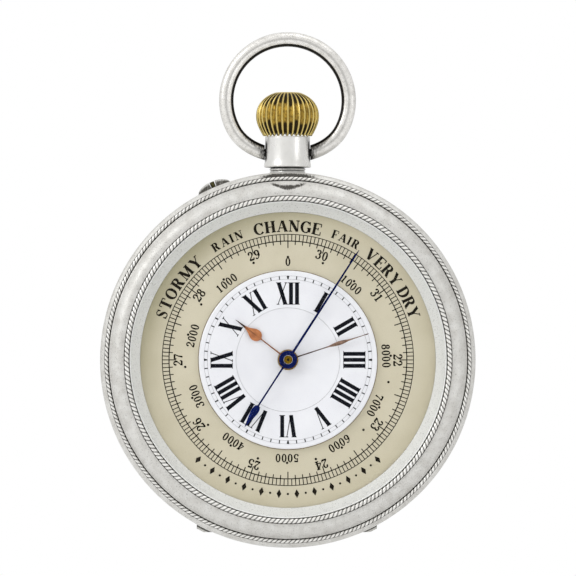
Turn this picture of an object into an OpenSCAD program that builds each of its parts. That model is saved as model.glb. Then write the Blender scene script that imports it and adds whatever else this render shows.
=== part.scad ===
// Pocket barometer: a keyless pocket watch and an aneroid barometer in one silver case.
// Every piece is drawn lying on its back: x to 3 o'clock, y to 12 o'clock, z from back to glass.
// placed() then hangs it by the bow: the dial faces -Y, 12 o'clock points up along +Z.

/* [Case] */
// Outside diameter of the case band
case_d = 56; // [54:0.5:60]
// How far the band bulges out beyond its two seams
seam_step = 0.8; // [0.8:0.05:1]
// Height of the back cover, from its flat to the seam
back_h = 5; // [4.8:0.1:6]
// Height of the case band between its two seams
band_h = 10.6; // [10.4:0.1:12]
// Height of the bezel above the front seam
bezel_h = 3.3; // [3.2:0.1:4]
// Wall of the back cover
cover_wall = 0.6; // [0.5:0.05:0.8]
// Diameter of the flat on the back cover
back_flat_d = 36; // [30:1:40]
// Wall of the band at its seams, outside the seats of the plates
seat_wall = 1.9; // [1.8:0.1:2.1]
// Width of the two ledges inside the band
ledge_w = 0.9; // [0.7:0.1:1.2]
// Height of each ledge inside the band
ledge_h = 1; // [0.8:0.1:1.2]
// Thickness of the dust cover
dust_t = 0.5; // [0.4:0.05:0.6]
// Depth of the dust cover's flat below the back seam
dust_drop = 3; // [2.8:0.1:3.2]

/* [Hinge] */
// Radius of the hinge barrel
barrel_r = 0.8; // [0.7:0.05:0.9]
// Radius of the hinge pin
hinge_pin_r = 0.35; // [0.25:0.05:0.4]
// Length of the hinge barrel
hinge_len = 27; // [25:0.5:28]
// How far the hinge axis lies inside the seam
hinge_in = 2.3; // [2.2:0.05:2.4]
// Half length of the dust cover's middle knuckle
knuckle_mid = 4.4; // [4:0.2:5]
// Length of each knuckle of the back cover
knuckle_len = 4.4; // [4:0.2:4.6]

/* [Bezel and crystal] */
// How far the glass's edge lies inside the middle of the inner rope border
glass_in = 0.3; // [0.25:0.05:0.4]
// How far the bezel's lip reaches over the glass
glass_lip = 0.3; // [0.2:0.05:0.35]
// Thickness of the glass
glass_t = 0.8; // [0.6:0.1:0.9]
// Rise of the glass dome
glass_rise = 1.5; // [1.5:0.1:1.8]
// Width of the sloping ring, from the glass's edge to the dial
slope_w = 1.7; // [1.5:0.1:2.1]
// Distance from the outer to the inner rope border
border_gap = 3; // [2.9:0.05:3.1]
// How far the outer rope border lies inside the band's outside
border_in = 1; // [0.95:0.05:1.1]
// Thickness of the rope borders
rope_d = 0.76; // [0.6:0.02:0.8]

/* [Pendant, crown and bow] */
// Height of the winding stem above the flat of the back
stem_z = 12.5; // [12.4:0.1:12.6]
// Radius of the pendant
pendant_r = 3.5; // [3.3:0.1:3.7]
// Radius at the pendant's top
pendant_top_r = 3.15; // [3:0.05:3.3]
// Radius of the ringed collar under the pendant
collar_r = 2.65; // [2.4:0.05:2.8]
// Height of the pendant's ringed collar above the band
collar_h = 0.8; // [0.7:0.1:1.2]
// Length of the pendant above its shoulder
pendant_len = 4.6; // [4.4:0.1:4.8]
// Largest radius of the crown
crown_r = 4.7; // [4.4:0.1:5]
// Radius at the foot of the crown
crown_foot_r = 3.64; // [3.4:0.05:3.8]
// Height of the crown
crown_h = 6.5; // [6:0.1:7]
// Number of flutes round the crown
crown_flutes = 32; // [24:1:40]
// Depth of the crown's flutes
flute_depth = 0.32; // [0.2:0.02:0.4]
// Radius of the winding stem
stem_r = 0.75; // [0.6:0.05:0.9]
// Radius of the bow's ring at the middle of its wire
bow_r = 9.15; // [9:0.05:9.6]
// Thickness of the bow's wire
bow_wire = 2.15; // [1.8:0.05:2.3]
// Radius of the bow's pivots
bow_pin_r = 0.6; // [0.5:0.05:0.7]
// Height of the bow's pivots above the pendant's shoulder
bow_pivot_up = 2.2; // [2:0.1:2.4]
// Height of the bow's centre above its pivots
bow_up = 7.8; // [7.7:0.1:8.2]

/* [Setting pin] */
// Angle of the setting pin, from 3 o'clock
pin_angle = 113; // [108:1:118]
// Radius of the setting pin
set_pin_r = 0.35; // [0.3:0.05:0.4]
// How far the setting pin and its guard stand out
guard_out = 1.15; // [1:0.05:1.4]
// Length of the guard round the case
guard_len = 5.2; // [4.6:0.2:6]
// Height of the guard along the band
guard_h = 2.4; // [2:0.2:3]

/* [Dials and hands] */
// How far the barometer dial's edge lies inside its seat
dial_in = 0.7; // [0.4:0.1:1]
// How far the watch dial laps over the barometer dial's hole
dial_lap = 0.7; // [0.5:0.1:1]
// Thickness of the barometer dial
baro_dial_t = 0.3; // [0.25:0.05:0.4]
// How far the watch dial laps over the movement
dial_over = 0.3; // [0.1:0.1:0.6]
// Thickness of the watch dial
watch_dial_t = 0.7; // [0.6:0.05:0.75]
// Thickness of the hands
hand_t = 0.15; // [0.1:0.01:0.18]
// Length of the hour hand
hour_len = 9.8; // [9:0.1:10.4]
// Length of the minute hand
minute_len = 12.65; // [12:0.05:13]
// How far the barometer pointer stops short of the sloping ring
pointer_short = 2.6; // [2:0.1:3.4]
// Length of the pointer's tail
tail_len = 11.85; // [11:0.05:12.4]
// Angle of the hour hand, clockwise from 12
hour_angle = -52.6; // [-90:0.1:0]
// Angle of the minute hand, clockwise from 12
minute_angle = 72; // [60:0.5:90]
// Angle of the barometer pointer, clockwise from 12
pointer_angle = 32.9; // [20:0.1:50]

/* [Watch movement] */
// Radius of the watch movement
move_r = 13; // [12.9:0.05:13.1]
// Thickness of the main plate
plate_t = 1; // [0.9:0.05:1.1]
// Thickness of the bridges
bridge_t = 0.8; // [0.7:0.05:0.85]
// Radius of the bridge pillars
pillar_r = 1.1; // [0.9:0.05:1.2]
// Radius of the balance wheel
balance_r = 4.6; // [4.2:0.1:4.7]
// Thickness of the train wheels
wheel_t = 0.2; // [0.15:0.01:0.22]
// Radius of the train arbors
arbor_r = 0.16; // [0.14:0.01:0.2]
// Radius of the fixed centre tube
tube_r = 0.65; // [0.6:0.01:0.66]
// Radius of the pointer's arbor
pointer_arbor_r = 0.28; // [0.24:0.01:0.3]

/* [Barometer] */
// Thickness of the barometer plate
baro_plate_t = 1; // [0.8:0.05:1]
// Radius of the vacuum capsule
capsule_r = 10.5; // [9:0.1:10.8]
// Height of the vacuum capsule
capsule_h = 1.8; // [1.6:0.05:1.9]
// Thickness of the leaf spring
spring_t = 0.4; // [0.3:0.05:0.45]
// Width of the leaf spring
spring_w = 7; // [5:0.5:7.5]
// Radius of the rocking shaft
rocker_r = 0.4; // [0.35:0.01:0.42]
// Arm that pulls the chain
chain_arm = 2.2; // [2:0.05:2.3]
// Arm that the link turns
link_arm = 1.3; // [1.2:0.05:1.4]
// Tilt of the rocking shaft at rest
rocker_tilt = 16.1; // [12:0.1:18]

/* [Clearances] */
// Running clearance of shafts and pins, on the radius
run_fit = 0.03; // [0.02:0.01:0.04]
// Clearance of parts that drop into a seat, on the radius
seat_fit = 0.1; // [0.05:0.01:0.12]
// Free gap beside parts that turn or swing
free_gap = 0.05; // [0.04:0.01:0.08]

/* [Hidden] */
$fn = 48;
// a hair, so that a cut runs past the face it opens
eps = 0.02;
case_r = case_d / 2;
seam_r = case_r - seam_step;
seat_r = seam_r - seat_wall;
ledge_r = seat_r - ledge_w;
rope_out_r = case_r - border_in;
rope_in_r = rope_out_r - border_gap;
glass_r = rope_in_r - glass_in;
slope_r = glass_r - slope_w;
baro_dial_r = seat_r - dial_in;
watch_dial_r = move_r + dial_over;
baro_hole_r = watch_dial_r - dial_lap;
baro_plate_r = seat_r - seat_fit;
pointer_len = slope_r - pointer_short;
back_seam_z = back_h;
front_seam_z = back_h + band_h;
bezel_top_z = front_seam_z + bezel_h;

// the barometer, counted up from the back seam
plate_in = 0.4;
baro_plate_z0 = back_seam_z + plate_in;
baro_plate_z1 = baro_plate_z0 + baro_plate_t;
capsule_z1 = baro_plate_z1 + capsule_h;
spring_over = 0.7;
spring_z0 = capsule_z1 + spring_over;
spring_z1 = spring_z0 + spring_t;
cock_over = 0.55;
cock_z0 = spring_z1 + cock_over;
cock_t = 0.35;
cock_z1 = cock_z0 + cock_t;
drum_z0 = cock_z1 + free_gap;
drum_h = 0.25;
chain_z = drum_z0 + drum_h / 2;

// the watch, counted down from the front seam
ring_drop = 1.3;
ring_rise = 0.4;
ring_z0 = front_seam_z - ring_drop;
plate_z0 = ring_z0;
plate_z1 = plate_z0 + plate_t;
ring_z1 = front_seam_z + ring_rise;
dial_z1 = ring_z1 + baro_dial_t;
enamel_z1 = dial_z1 + watch_dial_t;
pillar_h = 2.9;
pillar_in = 1.4;
bridge_z0 = plate_z0 - pillar_h;
bridge_z1 = bridge_z0 + bridge_t;
winding_z1 = bridge_z0 - free_gap;
winding_t = 0.35;
winding_z0 = winding_z1 - winding_t;
hand_rise = 0.3;
hand_step = 0.35;
pointer_step = 0.38;
hour_z = enamel_z1 + hand_rise;
minute_z = hour_z + hand_step;
pointer_z = minute_z + pointer_step;
// thickness of the band between its ledges
band_wall = 0.8;
wall_r = seam_r - band_wall;

hinge_y = hinge_in - seam_r;
knuckle_gap = 0.1;
chord_y = hinge_y + barrel_r + free_gap;
shoulder_y = case_r + collar_h;
pendant_y1 = shoulder_y + pendant_len;
crown_y0 = pendant_y1 + seat_fit;
bow_pivot_y = shoulder_y + bow_pivot_up;
bow_y = bow_pivot_y + bow_up;
hook_y = bow_y + bow_r - bow_wire / 2;

// places of the wheels on the main plate, as x and y from the centre
barrel_at = [4.6, 5.5];
second_at = [5.9, 0.26];
third_at = [4.2, -4.1];
fourth_at = [1.07, -6.72];
escape_at = [-2.55, -8.04];
fork_at = [-3.9, -5.64];
balance_at = [-6.8, -0.5];
crown_wheel_at = [0, 8.2];
minute_wheel_at = [-4.886, -1.778];
pillars_barrel = [for (a = [12, 112]) (move_r - pillar_in) * [cos(a), sin(a)]];
pillars_train = [for (a = [300, 240]) (move_r - pillar_in) * [cos(a), sin(a)]];
pillar_cock = (move_r - pillar_in) * [cos(150), sin(150)];
train_z = plate_z0 - 0.8;

// screws: shank and head radius, and head height
case_screw = [0.25, 0.4, 0.35];
move_screw = [0.25, 0.5, 0.25];
bridge_screw = [0.3, 0.6, 0.3];
plate_screw = [0.4, 0.8, 0.3];
case_screw_angles = [60, 180, 300];
move_screw_angles = [20, 200];

// Puts a piece drawn on its back into the hanging frame, with the origin where a hook holds the bow.
module placed() {
  translate([0, stem_z, -hook_y])
    rotate([90, 0, 0])
      children();
}

// A ring of height h from z0, between two radii
module tube(z0, h, r_out, r_in) {
  translate([0, 0, z0])
    difference() {
      cylinder(h = h, r = r_out);
      translate([0, 0, -eps])
        cylinder(h = h + 2 * eps, r = r_in);
    }
}

// A round pin along x from x0 to x1, on the line through y and z
module pin_x(x0, x1, y, z, r) {
  translate([x0, y, z])
    rotate([0, 90, 0])
      cylinder(h = x1 - x0, r = r);
}

// A round pin along y from y0 to y1, on the stem's line
module pin_y(y0, y1, r) {
  translate([0, y0, stem_z])
    rotate([-90, 0, 0])
      cylinder(h = y1 - y0, r = r);
}

// A box between two corners
module block(a, b) {
  translate(a)
    cube(b - a);
}

// The angle of the line from a to b
function heading(a, b) = atan2(b[1] - a[1], b[0] - a[0]);

// The distance from a to b
function span(a, b) = norm(b - a);

// Points of a gear outline: narrow teeth, the first one on the x axis
function gear_points(teeth, pitch_r, module_size) = [
  for (i = [0 : teeth - 1])
    for (k = [[-0.34, -0.65], [-0.13, 0.5], [0.13, 0.5], [0.34, -0.65]])
      let (a = 360 * (i + k[0] * 0.62) / teeth, r = pitch_r + k[1] * module_size)
        [r * cos(a), r * sin(a)]
];

// A gear of thickness h from z0 with a round hole
module gear(teeth, pitch_r, z0, h, hole_r, turned) {
  translate([0, 0, z0])
    difference() {
      rotate([0, 0, turned])
        linear_extrude(height = h)
          polygon(gear_points(teeth, pitch_r, 2 * pitch_r / teeth));
      translate([0, 0, -eps])
        cylinder(h = h + 2 * eps, r = hole_r);
    }
}

// A wheel with a toothed rim, a hub and crossings
module crossed_wheel(teeth, pitch_r, z0, turned, spokes) {
  module_size = 2 * pitch_r / teeth;
  rim_r = pitch_r - 3.2 * module_size;
  gear(teeth, pitch_r, z0, wheel_t, rim_r, turned);
  tube(z0, wheel_t, 0.7, arbor_r / 2);
  for (i = [0 : spokes - 1])
    rotate([0, 0, i * 360 / spokes])
      block([0.5, -0.17, z0], [rim_r + 0.05, 0.17, z0 + wheel_t]);
}

// A flat spiral strip from r0 to r1
module spiral_strip(r0, r1, turns, strip, z0, h) {
  steps = ceil(turns * 24);
  angles = [for (i = [0 : steps]) i * turns * 360 / steps];
  radii = [for (i = [0 : steps]) r0 + (r1 - r0) * i / steps];
  outer = [for (i = [0 : steps]) (radii[i] + strip / 2) * [cos(angles[i]), sin(angles[i])]];
  inner = [for (i = [0 : steps]) (radii[i] - strip / 2) * [cos(angles[i]), sin(angles[i])]];
  translate([0, 0, z0])
    linear_extrude(height = h)
      polygon(concat(outer, [for (i = [steps : -1 : 0]) inner[i]]));
}

// Half an ellipse quadrant from [x0 + a, z0 + b] down to [x0, z0]: the turn of the back cover
function quarter(x0, z0, a, b) = [for (i = [0 : 10]) [x0 + a * sin(9 * i), z0 + b - b * cos(9 * i)]];

// Outline of the case band's outside, as radius and height, standing off by out
function band_outline(out) = [
  for (i = [-8 : 8])
    [seam_r + out + (case_r - seam_r) * cos(11.25 * i), back_seam_z + band_h * (i + 8) / 16]
];

// The full round solid inside the case band's outside
module band_solid(out) {
  rotate_extrude($fn = 128)
    polygon(concat([[0, back_seam_z]], band_outline(out), [[0, front_seam_z]]));
}

// The case's own middle ring, with its two ledges, hinge ears and the stem and pin holes
module case_band() {
  color("silver")
    difference() {
      union() {
        rotate_extrude($fn = 128)
          polygon(concat(band_outline(0), [
            [seat_r, front_seam_z],
            [seat_r, ring_z0],
            [ledge_r, ring_z0],
            [ledge_r, ring_z0 - ledge_h],
            [wall_r, ring_z0 - ledge_h],
            [wall_r, baro_plate_z1 + ledge_h],
            [ledge_r, baro_plate_z1 + ledge_h],
            [ledge_r, baro_plate_z1],
            [seat_r, baro_plate_z1],
            [seat_r, back_seam_z]
          ]));
        for (a = lug_angles)
          rotate([0, 0, a])
            block([lug_at - lug_w / 2, -lug_w / 2, baro_plate_z1],
              [ledge_r + lug_root, lug_w / 2, baro_plate_z1 + lug_h]);
        // the hinge's end knuckles, dressed to the round of the case
        intersection() {
          cylinder(h = front_seam_z, r = case_r + knuckle_proud);
          for (s = [-1, 1]) {
            x0 = knuckle_mid + knuckle_len + 2 * knuckle_gap;
            x1 = hinge_len / 2;
            pin_x(min(s * x0, s * x1), max(s * x0, s * x1), hinge_y, back_seam_z, barrel_r);
            block([min(s * x0, s * x1), hinge_y - barrel_r + 0.1, back_seam_z - 0.1],
              [max(s * x0, s * x1), hinge_y + barrel_r - 0.1, back_seam_z + ear_h]);
          }
        }
      }
      // groove over the covers' knuckles
      pin_x(-knuckle_mid - knuckle_len - 2 * knuckle_gap, knuckle_mid + knuckle_len + 2 * knuckle_gap,
        hinge_y, back_seam_z, barrel_r + seat_fit);
      pin_x(-hinge_len, hinge_len, hinge_y, back_seam_z, hinge_pin_r + run_fit);
      pin_y(ledge_r - 1, case_r + 1, stem_r + seat_fit);
      for (a = lug_angles)
        rotate([0, 0, a])
          translate([lug_at, 0, baro_plate_z1 - eps])
            cylinder(h = lug_h - 0.5, r = plate_screw[0] + eps);
      for (a = case_screw_angles)
        rotate([0, 0, a])
          translate([case_screw_at, 0, ring_z0 - 0.7])
            cylinder(h = 0.8, r = case_screw[0] + eps);
      rotate([0, 0, pin_angle])
        translate([ledge_r, 0, band_mid_z])
          rotate([0, 90, 0])
            cylinder(h = case_r - ledge_r + 1, r = set_pin_r + run_fit);
    }
}
ear_h = 1.4;
knuckle_proud = 0.55;
lug_h = 1.6;
lug_w = 3;
lug_root = 0.4;
lug_at = ledge_r - 0.8;
case_screw_at = ledge_r + ledge_w / 2;
lug_angles = [90, 210, 330];
band_mid_z = back_seam_z + band_h / 2;

// The neck that the stem, the crown and the bow are carried by
module pendant() {
  color("silver")
    difference() {
      union() {
        translate([0, seam_r - 0.8, stem_z])
          rotate([-90, 0, 0])
            rotate_extrude($fn = 64)
              polygon(concat(
                [[0, 0], [collar_r + 0.15, 0], [collar_r + 0.15, neck_y - 1.15]],
                [for (k = [[1.1, 1], [0.85, 1], [0.8, 0], [0.5, 0], [0.45, 1], [0.2, 1], [0.15, 0]])
                  [collar_r - k[1] * collar_groove, neck_y - k[0]]],
                [[collar_r, neck_y], [pendant_r - 0.1, neck_y], [pendant_r, neck_y + 0.1],
                  [pendant_r, neck_y + 0.4], [pendant_top_r, neck_y + flare_h],
                  [pendant_top_r, neck_y + pendant_len - 0.15],
                  [pendant_top_r - 0.15, neck_y + pendant_len], [0, neck_y + pendant_len]]
              ));
      }
      band_solid(eps);
      pin_y(seam_r - 2, pendant_y1 + 1, sleeve_r + eps);
      for (s = [-1, 1])
        pin_x(s < 0 ? -pendant_r - 1 : pendant_r - bow_pin_in - 0.2,
          s < 0 ? bow_pin_in + 0.2 - pendant_r : pendant_r + 1,
          bow_pivot_y, stem_z, bow_pin_r + run_fit);
    }
}
sleeve_r = 1.6;
collar_groove = 0.3;
flare_h = 1.6;
// height of the shoulder above the pendant's own foot
neck_y = shoulder_y - seam_r + 0.8;

// Steel sleeve in the pendant that the stem turns in
module stem_sleeve() {
  color("lightsteelblue")
    difference() {
      pin_y(case_r + 0.3, pendant_y1, sleeve_r);
      pin_y(case_r, pendant_y1 + 1, stem_r + run_fit);
    }
}

// Crescent guard on the band that keeps the setting pin from being pressed by accident
module pin_guard() {
  reach = guard_len / 2 / case_r * 180 / PI;
  color("silver")
    difference() {
      rotate([0, 0, pin_angle])
        translate([0, 0, band_mid_z - guard_h / 2])
          linear_extrude(height = guard_h)
            polygon(concat(
              [for (i = [-8 : 8]) (case_r + guard_out * pow(cos(i * 90 / 8), 0.5))
                * [cos(i * reach / 8), sin(i * reach / 8)]],
              [for (i = [8 : -1 : -8]) (case_r - 0.6) * [cos(i * reach / 8), sin(i * reach / 8)]]
            ));
      band_solid(eps);
      rotate([0, 0, pin_angle])
        translate([case_r, 0, band_mid_z])
          rotate([0, 90, 0])
            cylinder(h = 4, r1 = set_pin_r + 0.2, r2 = guard_h - 0.2, $fn = 40);
    }
}

// The pin that both covers swing on
module hinge_pin() {
  color("dimgray")
    pin_x(-hinge_len / 2, hinge_len / 2, hinge_y, back_seam_z, hinge_pin_r);
}

// Points of half a round bead, from its outer to its inner side, as radius and height
function bead(r, z) = [for (i = [0 : 6]) [r + rope_d / 2 * cos(30 * i), z + rope_d / 2 * sin(30 * i)]];

// The snap-on front ring that holds the glass, with a bead where each rope border runs
module bezel() {
  color("gainsboro")
    rotate_extrude($fn = 128)
      polygon(concat(
        [
          [seat_r, front_seam_z],
          [seam_r, front_seam_z],
          [case_r - rim_round, front_seam_z + 0.35],
          [case_r - rim_round * 0.4, front_seam_z + 0.9],
          [case_r - rim_round, border_z - 0.45]
        ],
        bead(rope_out_r, border_z),
        [for (i = [0 : 6]) [
          (rope_in_r + rope_out_r + (rope_out_r - rope_in_r - rope_d) * cos(30 * i)) / 2,
          bezel_top_z - (border_drop - 0.1) * (6 - i) / 6 + band_arch * sin(30 * i)
        ]],
        bead(rope_in_r, bezel_top_z + 0.1),
        [
          [glass_r - glass_lip, bezel_top_z + 0.1],
          [glass_r - glass_lip, glass_z + glass_t + 0.1],
          [glass_r + free_gap, glass_z + glass_t + 0.1],
          [glass_r + free_gap, glass_z - free_gap],
          [glass_r - glass_lip, glass_z - free_gap],
          [slope_r, dial_z1 + 0.25],
          [slope_r, dial_z1 + 0.1],
          [seat_r, dial_z1 + 0.1]
        ]
      ));
}
band_arch = 0.45;
rim_round = 0.25;
// how far the outer rope border lies behind the bezel's front
border_drop = 1.3;
border_z = bezel_top_z - border_drop;
glass_z = bezel_top_z - glass_t - 0.2;

// The domed glass
module crystal() {
  dome_r = (glass_r * glass_r + glass_rise * glass_rise) / (2 * glass_rise);
  color([0.8, 0.9, 0.95, 0.3])
    intersection() {
      translate([0, 0, glass_z])
        cylinder(h = glass_rise + glass_t + 1, r = glass_r, $fn = 128);
      translate([0, 0, glass_z + glass_t + glass_rise - dome_r])
        difference() {
          sphere(r = dome_r, $fn = 128);
          sphere(r = dome_r - glass_t, $fn = 128);
        }
    }
}

// Outer shape of the back cover, drawn in by cut
module back_shape(cut) {
  rotate_extrude($fn = 128)
    polygon(concat(
      [[0, cut]],
      quarter(back_flat_d / 2, cut, seam_r - back_flat_d / 2 - cut, back_seam_z - cut),
      [[0, back_seam_z + (cut > 0 ? eps : 0)]]
    ));
}

// The outer back, hinged at 6 o'clock
module back_cover() {
  color("silver")
    difference() {
      union() {
        intersection() {
          difference() {
            back_shape(0);
            back_shape(cover_wall);
          }
          block([-case_r, chord_y, -1], [case_r, case_r, back_h + 1]);
        }
        intersection() {
          back_shape(0);
          block([-case_r, chord_y, -1], [case_r, chord_y + cover_wall, back_h + 1]);
        }
        for (s = [-1, 1]) {
          x0 = knuckle_mid + knuckle_gap;
          x1 = x0 + knuckle_len;
          pin_x(min(s * x0, s * x1), max(s * x0, s * x1), hinge_y, back_seam_z, barrel_r);
          block([min(s * x0, s * x1), hinge_y, back_seam_z - barrel_r],
            [max(s * x0, s * x1), chord_y + cover_wall, back_seam_z - free_gap]);
        }
      }
      // notch that the dust cover's knuckle passes through
      block([-knuckle_mid - knuckle_gap, hinge_y, back_seam_z - barrel_r - 0.15],
        [knuckle_mid + knuckle_gap, chord_y + cover_wall + eps, back_seam_z + 1]);
      pin_x(-hinge_len, hinge_len, hinge_y, back_seam_z, hinge_pin_r + run_fit);
    }
}

// The inner back, on the same hinge
module dust_cover() {
  flat_z = back_seam_z - dust_drop;
  rim_r = seat_r - seat_fit;
  flat_r = rim_r - dust_drop + 0.1;
  in_y = chord_y + cover_wall + seat_fit;
  color("lightgray")
    difference() {
      union() {
        intersection() {
          rotate_extrude($fn = 128)
            polygon([
              [0, flat_z], [flat_r, flat_z], [rim_r - 0.3, back_seam_z - 0.8],
              [rim_r, back_seam_z - 0.5], [rim_r, back_seam_z + 0.35],
              [rim_r - dust_t, back_seam_z + 0.35], [rim_r - dust_t, back_seam_z - 0.4],
              [flat_r - dust_t * 0.4, flat_z + dust_t], [0, flat_z + dust_t]
            ]);
          block([-case_r, in_y, 0], [case_r, case_r, back_h + 1]);
        }
        block([-knuckle_mid, in_y, flat_z + 1], [knuckle_mid, in_y + 0.6, back_seam_z - free_gap]);
        pin_x(-knuckle_mid, knuckle_mid, hinge_y, back_seam_z, barrel_r);
        block([-knuckle_mid, hinge_y, back_seam_z - barrel_r],
          [knuckle_mid, in_y + 0.6, back_seam_z - free_gap]);
      }
      pin_x(-hinge_len, hinge_len, hinge_y, back_seam_z, hinge_pin_r + run_fit);
    }
}

// how deep the bow's pins reach into the pendant and into the bow's own wire
bow_pin_in = 1;
bow_pin_root = 0.6;

// The ring that the watch hangs from, with its two pivots in the pendant
module bow() {
  gap_x = pendant_r + seat_fit;
  color("silver") {
    difference() {
      translate([0, bow_y, stem_z])
        rotate_extrude($fn = 96)
          translate([bow_r, 0])
            circle(d = bow_wire, $fn = 32);
      block([-gap_x, bow_y - bow_r - bow_wire, stem_z - bow_wire],
        [gap_x, bow_y, stem_z + bow_wire]);
    }
    for (s = [-1, 1])
      pin_x(s < 0 ? -gap_x - bow_pin_root : pendant_r - bow_pin_in,
        s < 0 ? bow_pin_in - pendant_r : gap_x + bow_pin_root,
        bow_pivot_y, stem_z, bow_pin_r);
  }
}

// Radius of the crown's onion at the share t of its height
function onion(t) = t < widest
  ? crown_foot_r + (crown_r - crown_foot_r) * sin(90 * t / widest)
  : crown_r * pow(1 - pow((t - widest) / (1.04 - widest), 2.2), 0.5);
widest = 0.45;

// The fluted crown: rings of points drawn in at each groove, closed by a disc at each end
module crown() {
  rings = 16;
  sides = crown_flutes * 2;
  levels = [for (j = [0 : rings]) j / rings];
  points = [
    for (t = levels)
      for (i = [0 : sides - 1])
        let (r = onion(t) - (i % 2) * flute_depth * sin(180 * min(1, 0.08 + t * 0.9)), a = 360 * i / sides)
          [r * cos(a), r * sin(a), crown_h * t]
  ];
  walls = [
    for (j = [0 : rings - 1])
      for (i = [0 : sides - 1])
        let (a = j * sides + i, b = j * sides + (i + 1) % sides)
          each [[a, b + sides, b], [a, a + sides, b + sides]]
  ];
  foot = [[for (i = [0 : sides - 1]) i]];
  cap = [[for (i = [sides - 1 : -1 : 0]) rings * sides + i]];
  color("darkkhaki")
    translate([0, crown_y0, stem_z])
      rotate([-90, 0, 0])
        polyhedron(points = points, faces = concat(walls, foot, cap));
}

// The stem from the crown down to the winding pinion
module winding_stem() {
  color("lightsteelblue") {
    pin_y(stem_neck_y, crown_y0, stem_r);
    pin_y(pinion_y0 - 0.5, stem_neck_y, stem_neck_r);
  }
}
stem_neck_r = stem_r - 0.25;
pinion_w = 0.75;
pinion_y0 = crown_wheel_at[1] + 1.5;
pinion_y1 = pinion_y0 + pinion_w;
stem_neck_y = pinion_y1 + 0.3;
pinion_r = 1.05;

// The pinion on the stem that turns the crown wheel
module winding_pinion() {
  color("gray")
    translate([0, pinion_y0, stem_z])
      rotate([-90, 0, 0])
        gear(12, pinion_r, 0, pinion_w, stem_neck_r + eps / 2, 90);
}

// The pin that is pressed to put the crown into setting the hands
module setting_pin() {
  color("goldenrod")
    rotate([0, 0, pin_angle])
      translate([wall_r - set_pin_in, 0, band_mid_z])
        rotate([0, 90, 0])
          cylinder(h = case_r + guard_out - 0.15 - wall_r + set_pin_in, r = set_pin_r);
}

// how far the setting pin stands inside the band
set_pin_in = 0.4;

// Points along an arc, from angle a0 to a1
function arc(r, a0, a1) = [for (i = [0 : 6]) r * [cos(a0 + (a1 - a0) * i / 6), sin(a0 + (a1 - a0) * i / 6)]];

// Leaf spring inside the band that lifts the setting pin, with its foot on the wall
module setting_pin_spring() {
  leaf_in = wall_r - 1.4;
  leaf_out = leaf_in + 0.25;
  leaf_w = guard_h * 2 / 3;
  reach = 19;
  color("lightsteelblue")
    rotate([0, 0, pin_angle])
      translate([0, 0, band_mid_z - leaf_w / 2])
        linear_extrude(height = leaf_w)
          polygon(concat(arc(leaf_in, -2, reach), arc(wall_r - eps, reach, reach - 5), arc(leaf_out, reach - 5, -2)));
}

// The wide outer dial with the pressure scale
module barometer_dial() {
  color("ivory")
    tube(ring_z1, baro_dial_t, baro_dial_r, baro_hole_r);
}

// The enamel dial of the watch, with two feet down to the main plate
module watch_dial() {
  color("white") {
    tube(dial_z1, watch_dial_t, watch_dial_r, dial_hole_r);
    for (a = [45, 225])
      rotate([0, 0, a])
        translate([lip_r - 0.6, 0, plate_z1])
          cylinder(h = dial_z1 - plate_z1, r = dial_foot_r);
  }
}

dial_foot_r = 0.35;

// The ring that carries the watch movement in the case
module movement_ring() {
  color("goldenrod")
    difference() {
      union() {
        tube(ring_z0, plate_t, seat_r - seat_fit, move_r + seat_fit);
        tube(plate_z1, ring_z1 - plate_z1, seat_r - seat_fit, lip_r);
      }
      for (a = case_screw_angles)
        rotate([0, 0, a])
          translate([case_screw_at, 0, 0]) {
            translate([0, 0, ring_z0 - eps])
              cylinder(h = 3, r = case_screw[0] + eps);
            translate([0, 0, ring_z1 - case_screw[2] - free_gap])
              cylinder(h = 1, r = case_screw[1] + eps);
          }
      for (a = move_screw_angles)
        rotate([0, 0, a])
          translate([move_screw_at, 0, 0]) {
            translate([0, 0, plate_z1 - eps])
              cylinder(h = 3, r = move_screw[0] + eps);
            translate([0, 0, ring_z1 - move_screw[2] - free_gap])
              cylinder(h = 1, r = move_screw[1] + eps);
          }
    }
}
lip_r = move_r - 1.4;
move_screw_at = (lip_r + move_r) / 2;

// Screws that hold the ring to the case and the movement to the ring
module case_screws() {
  color("steelblue") {
    for (a = case_screw_angles)
      rotate([0, 0, a])
        translate([case_screw_at, 0, 0]) {
          translate([0, 0, ring_z0 - 0.6])
            cylinder(h = ring_z1 - ring_z0 + 0.5, r = case_screw[0]);
          translate([0, 0, ring_z1 - case_screw[2] - free_gap])
            cylinder(h = case_screw[2], r = case_screw[1]);
        }
    for (a = move_screw_angles)
      rotate([0, 0, a])
        translate([move_screw_at, 0, 0]) {
          translate([0, 0, plate_z1 - 0.7])
            cylinder(h = ring_z1 - plate_z1 + 0.5, r = move_screw[0]);
          translate([0, 0, ring_z1 - move_screw[2] - free_gap])
            cylinder(h = move_screw[2], r = move_screw[1]);
        }
  }
}

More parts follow.
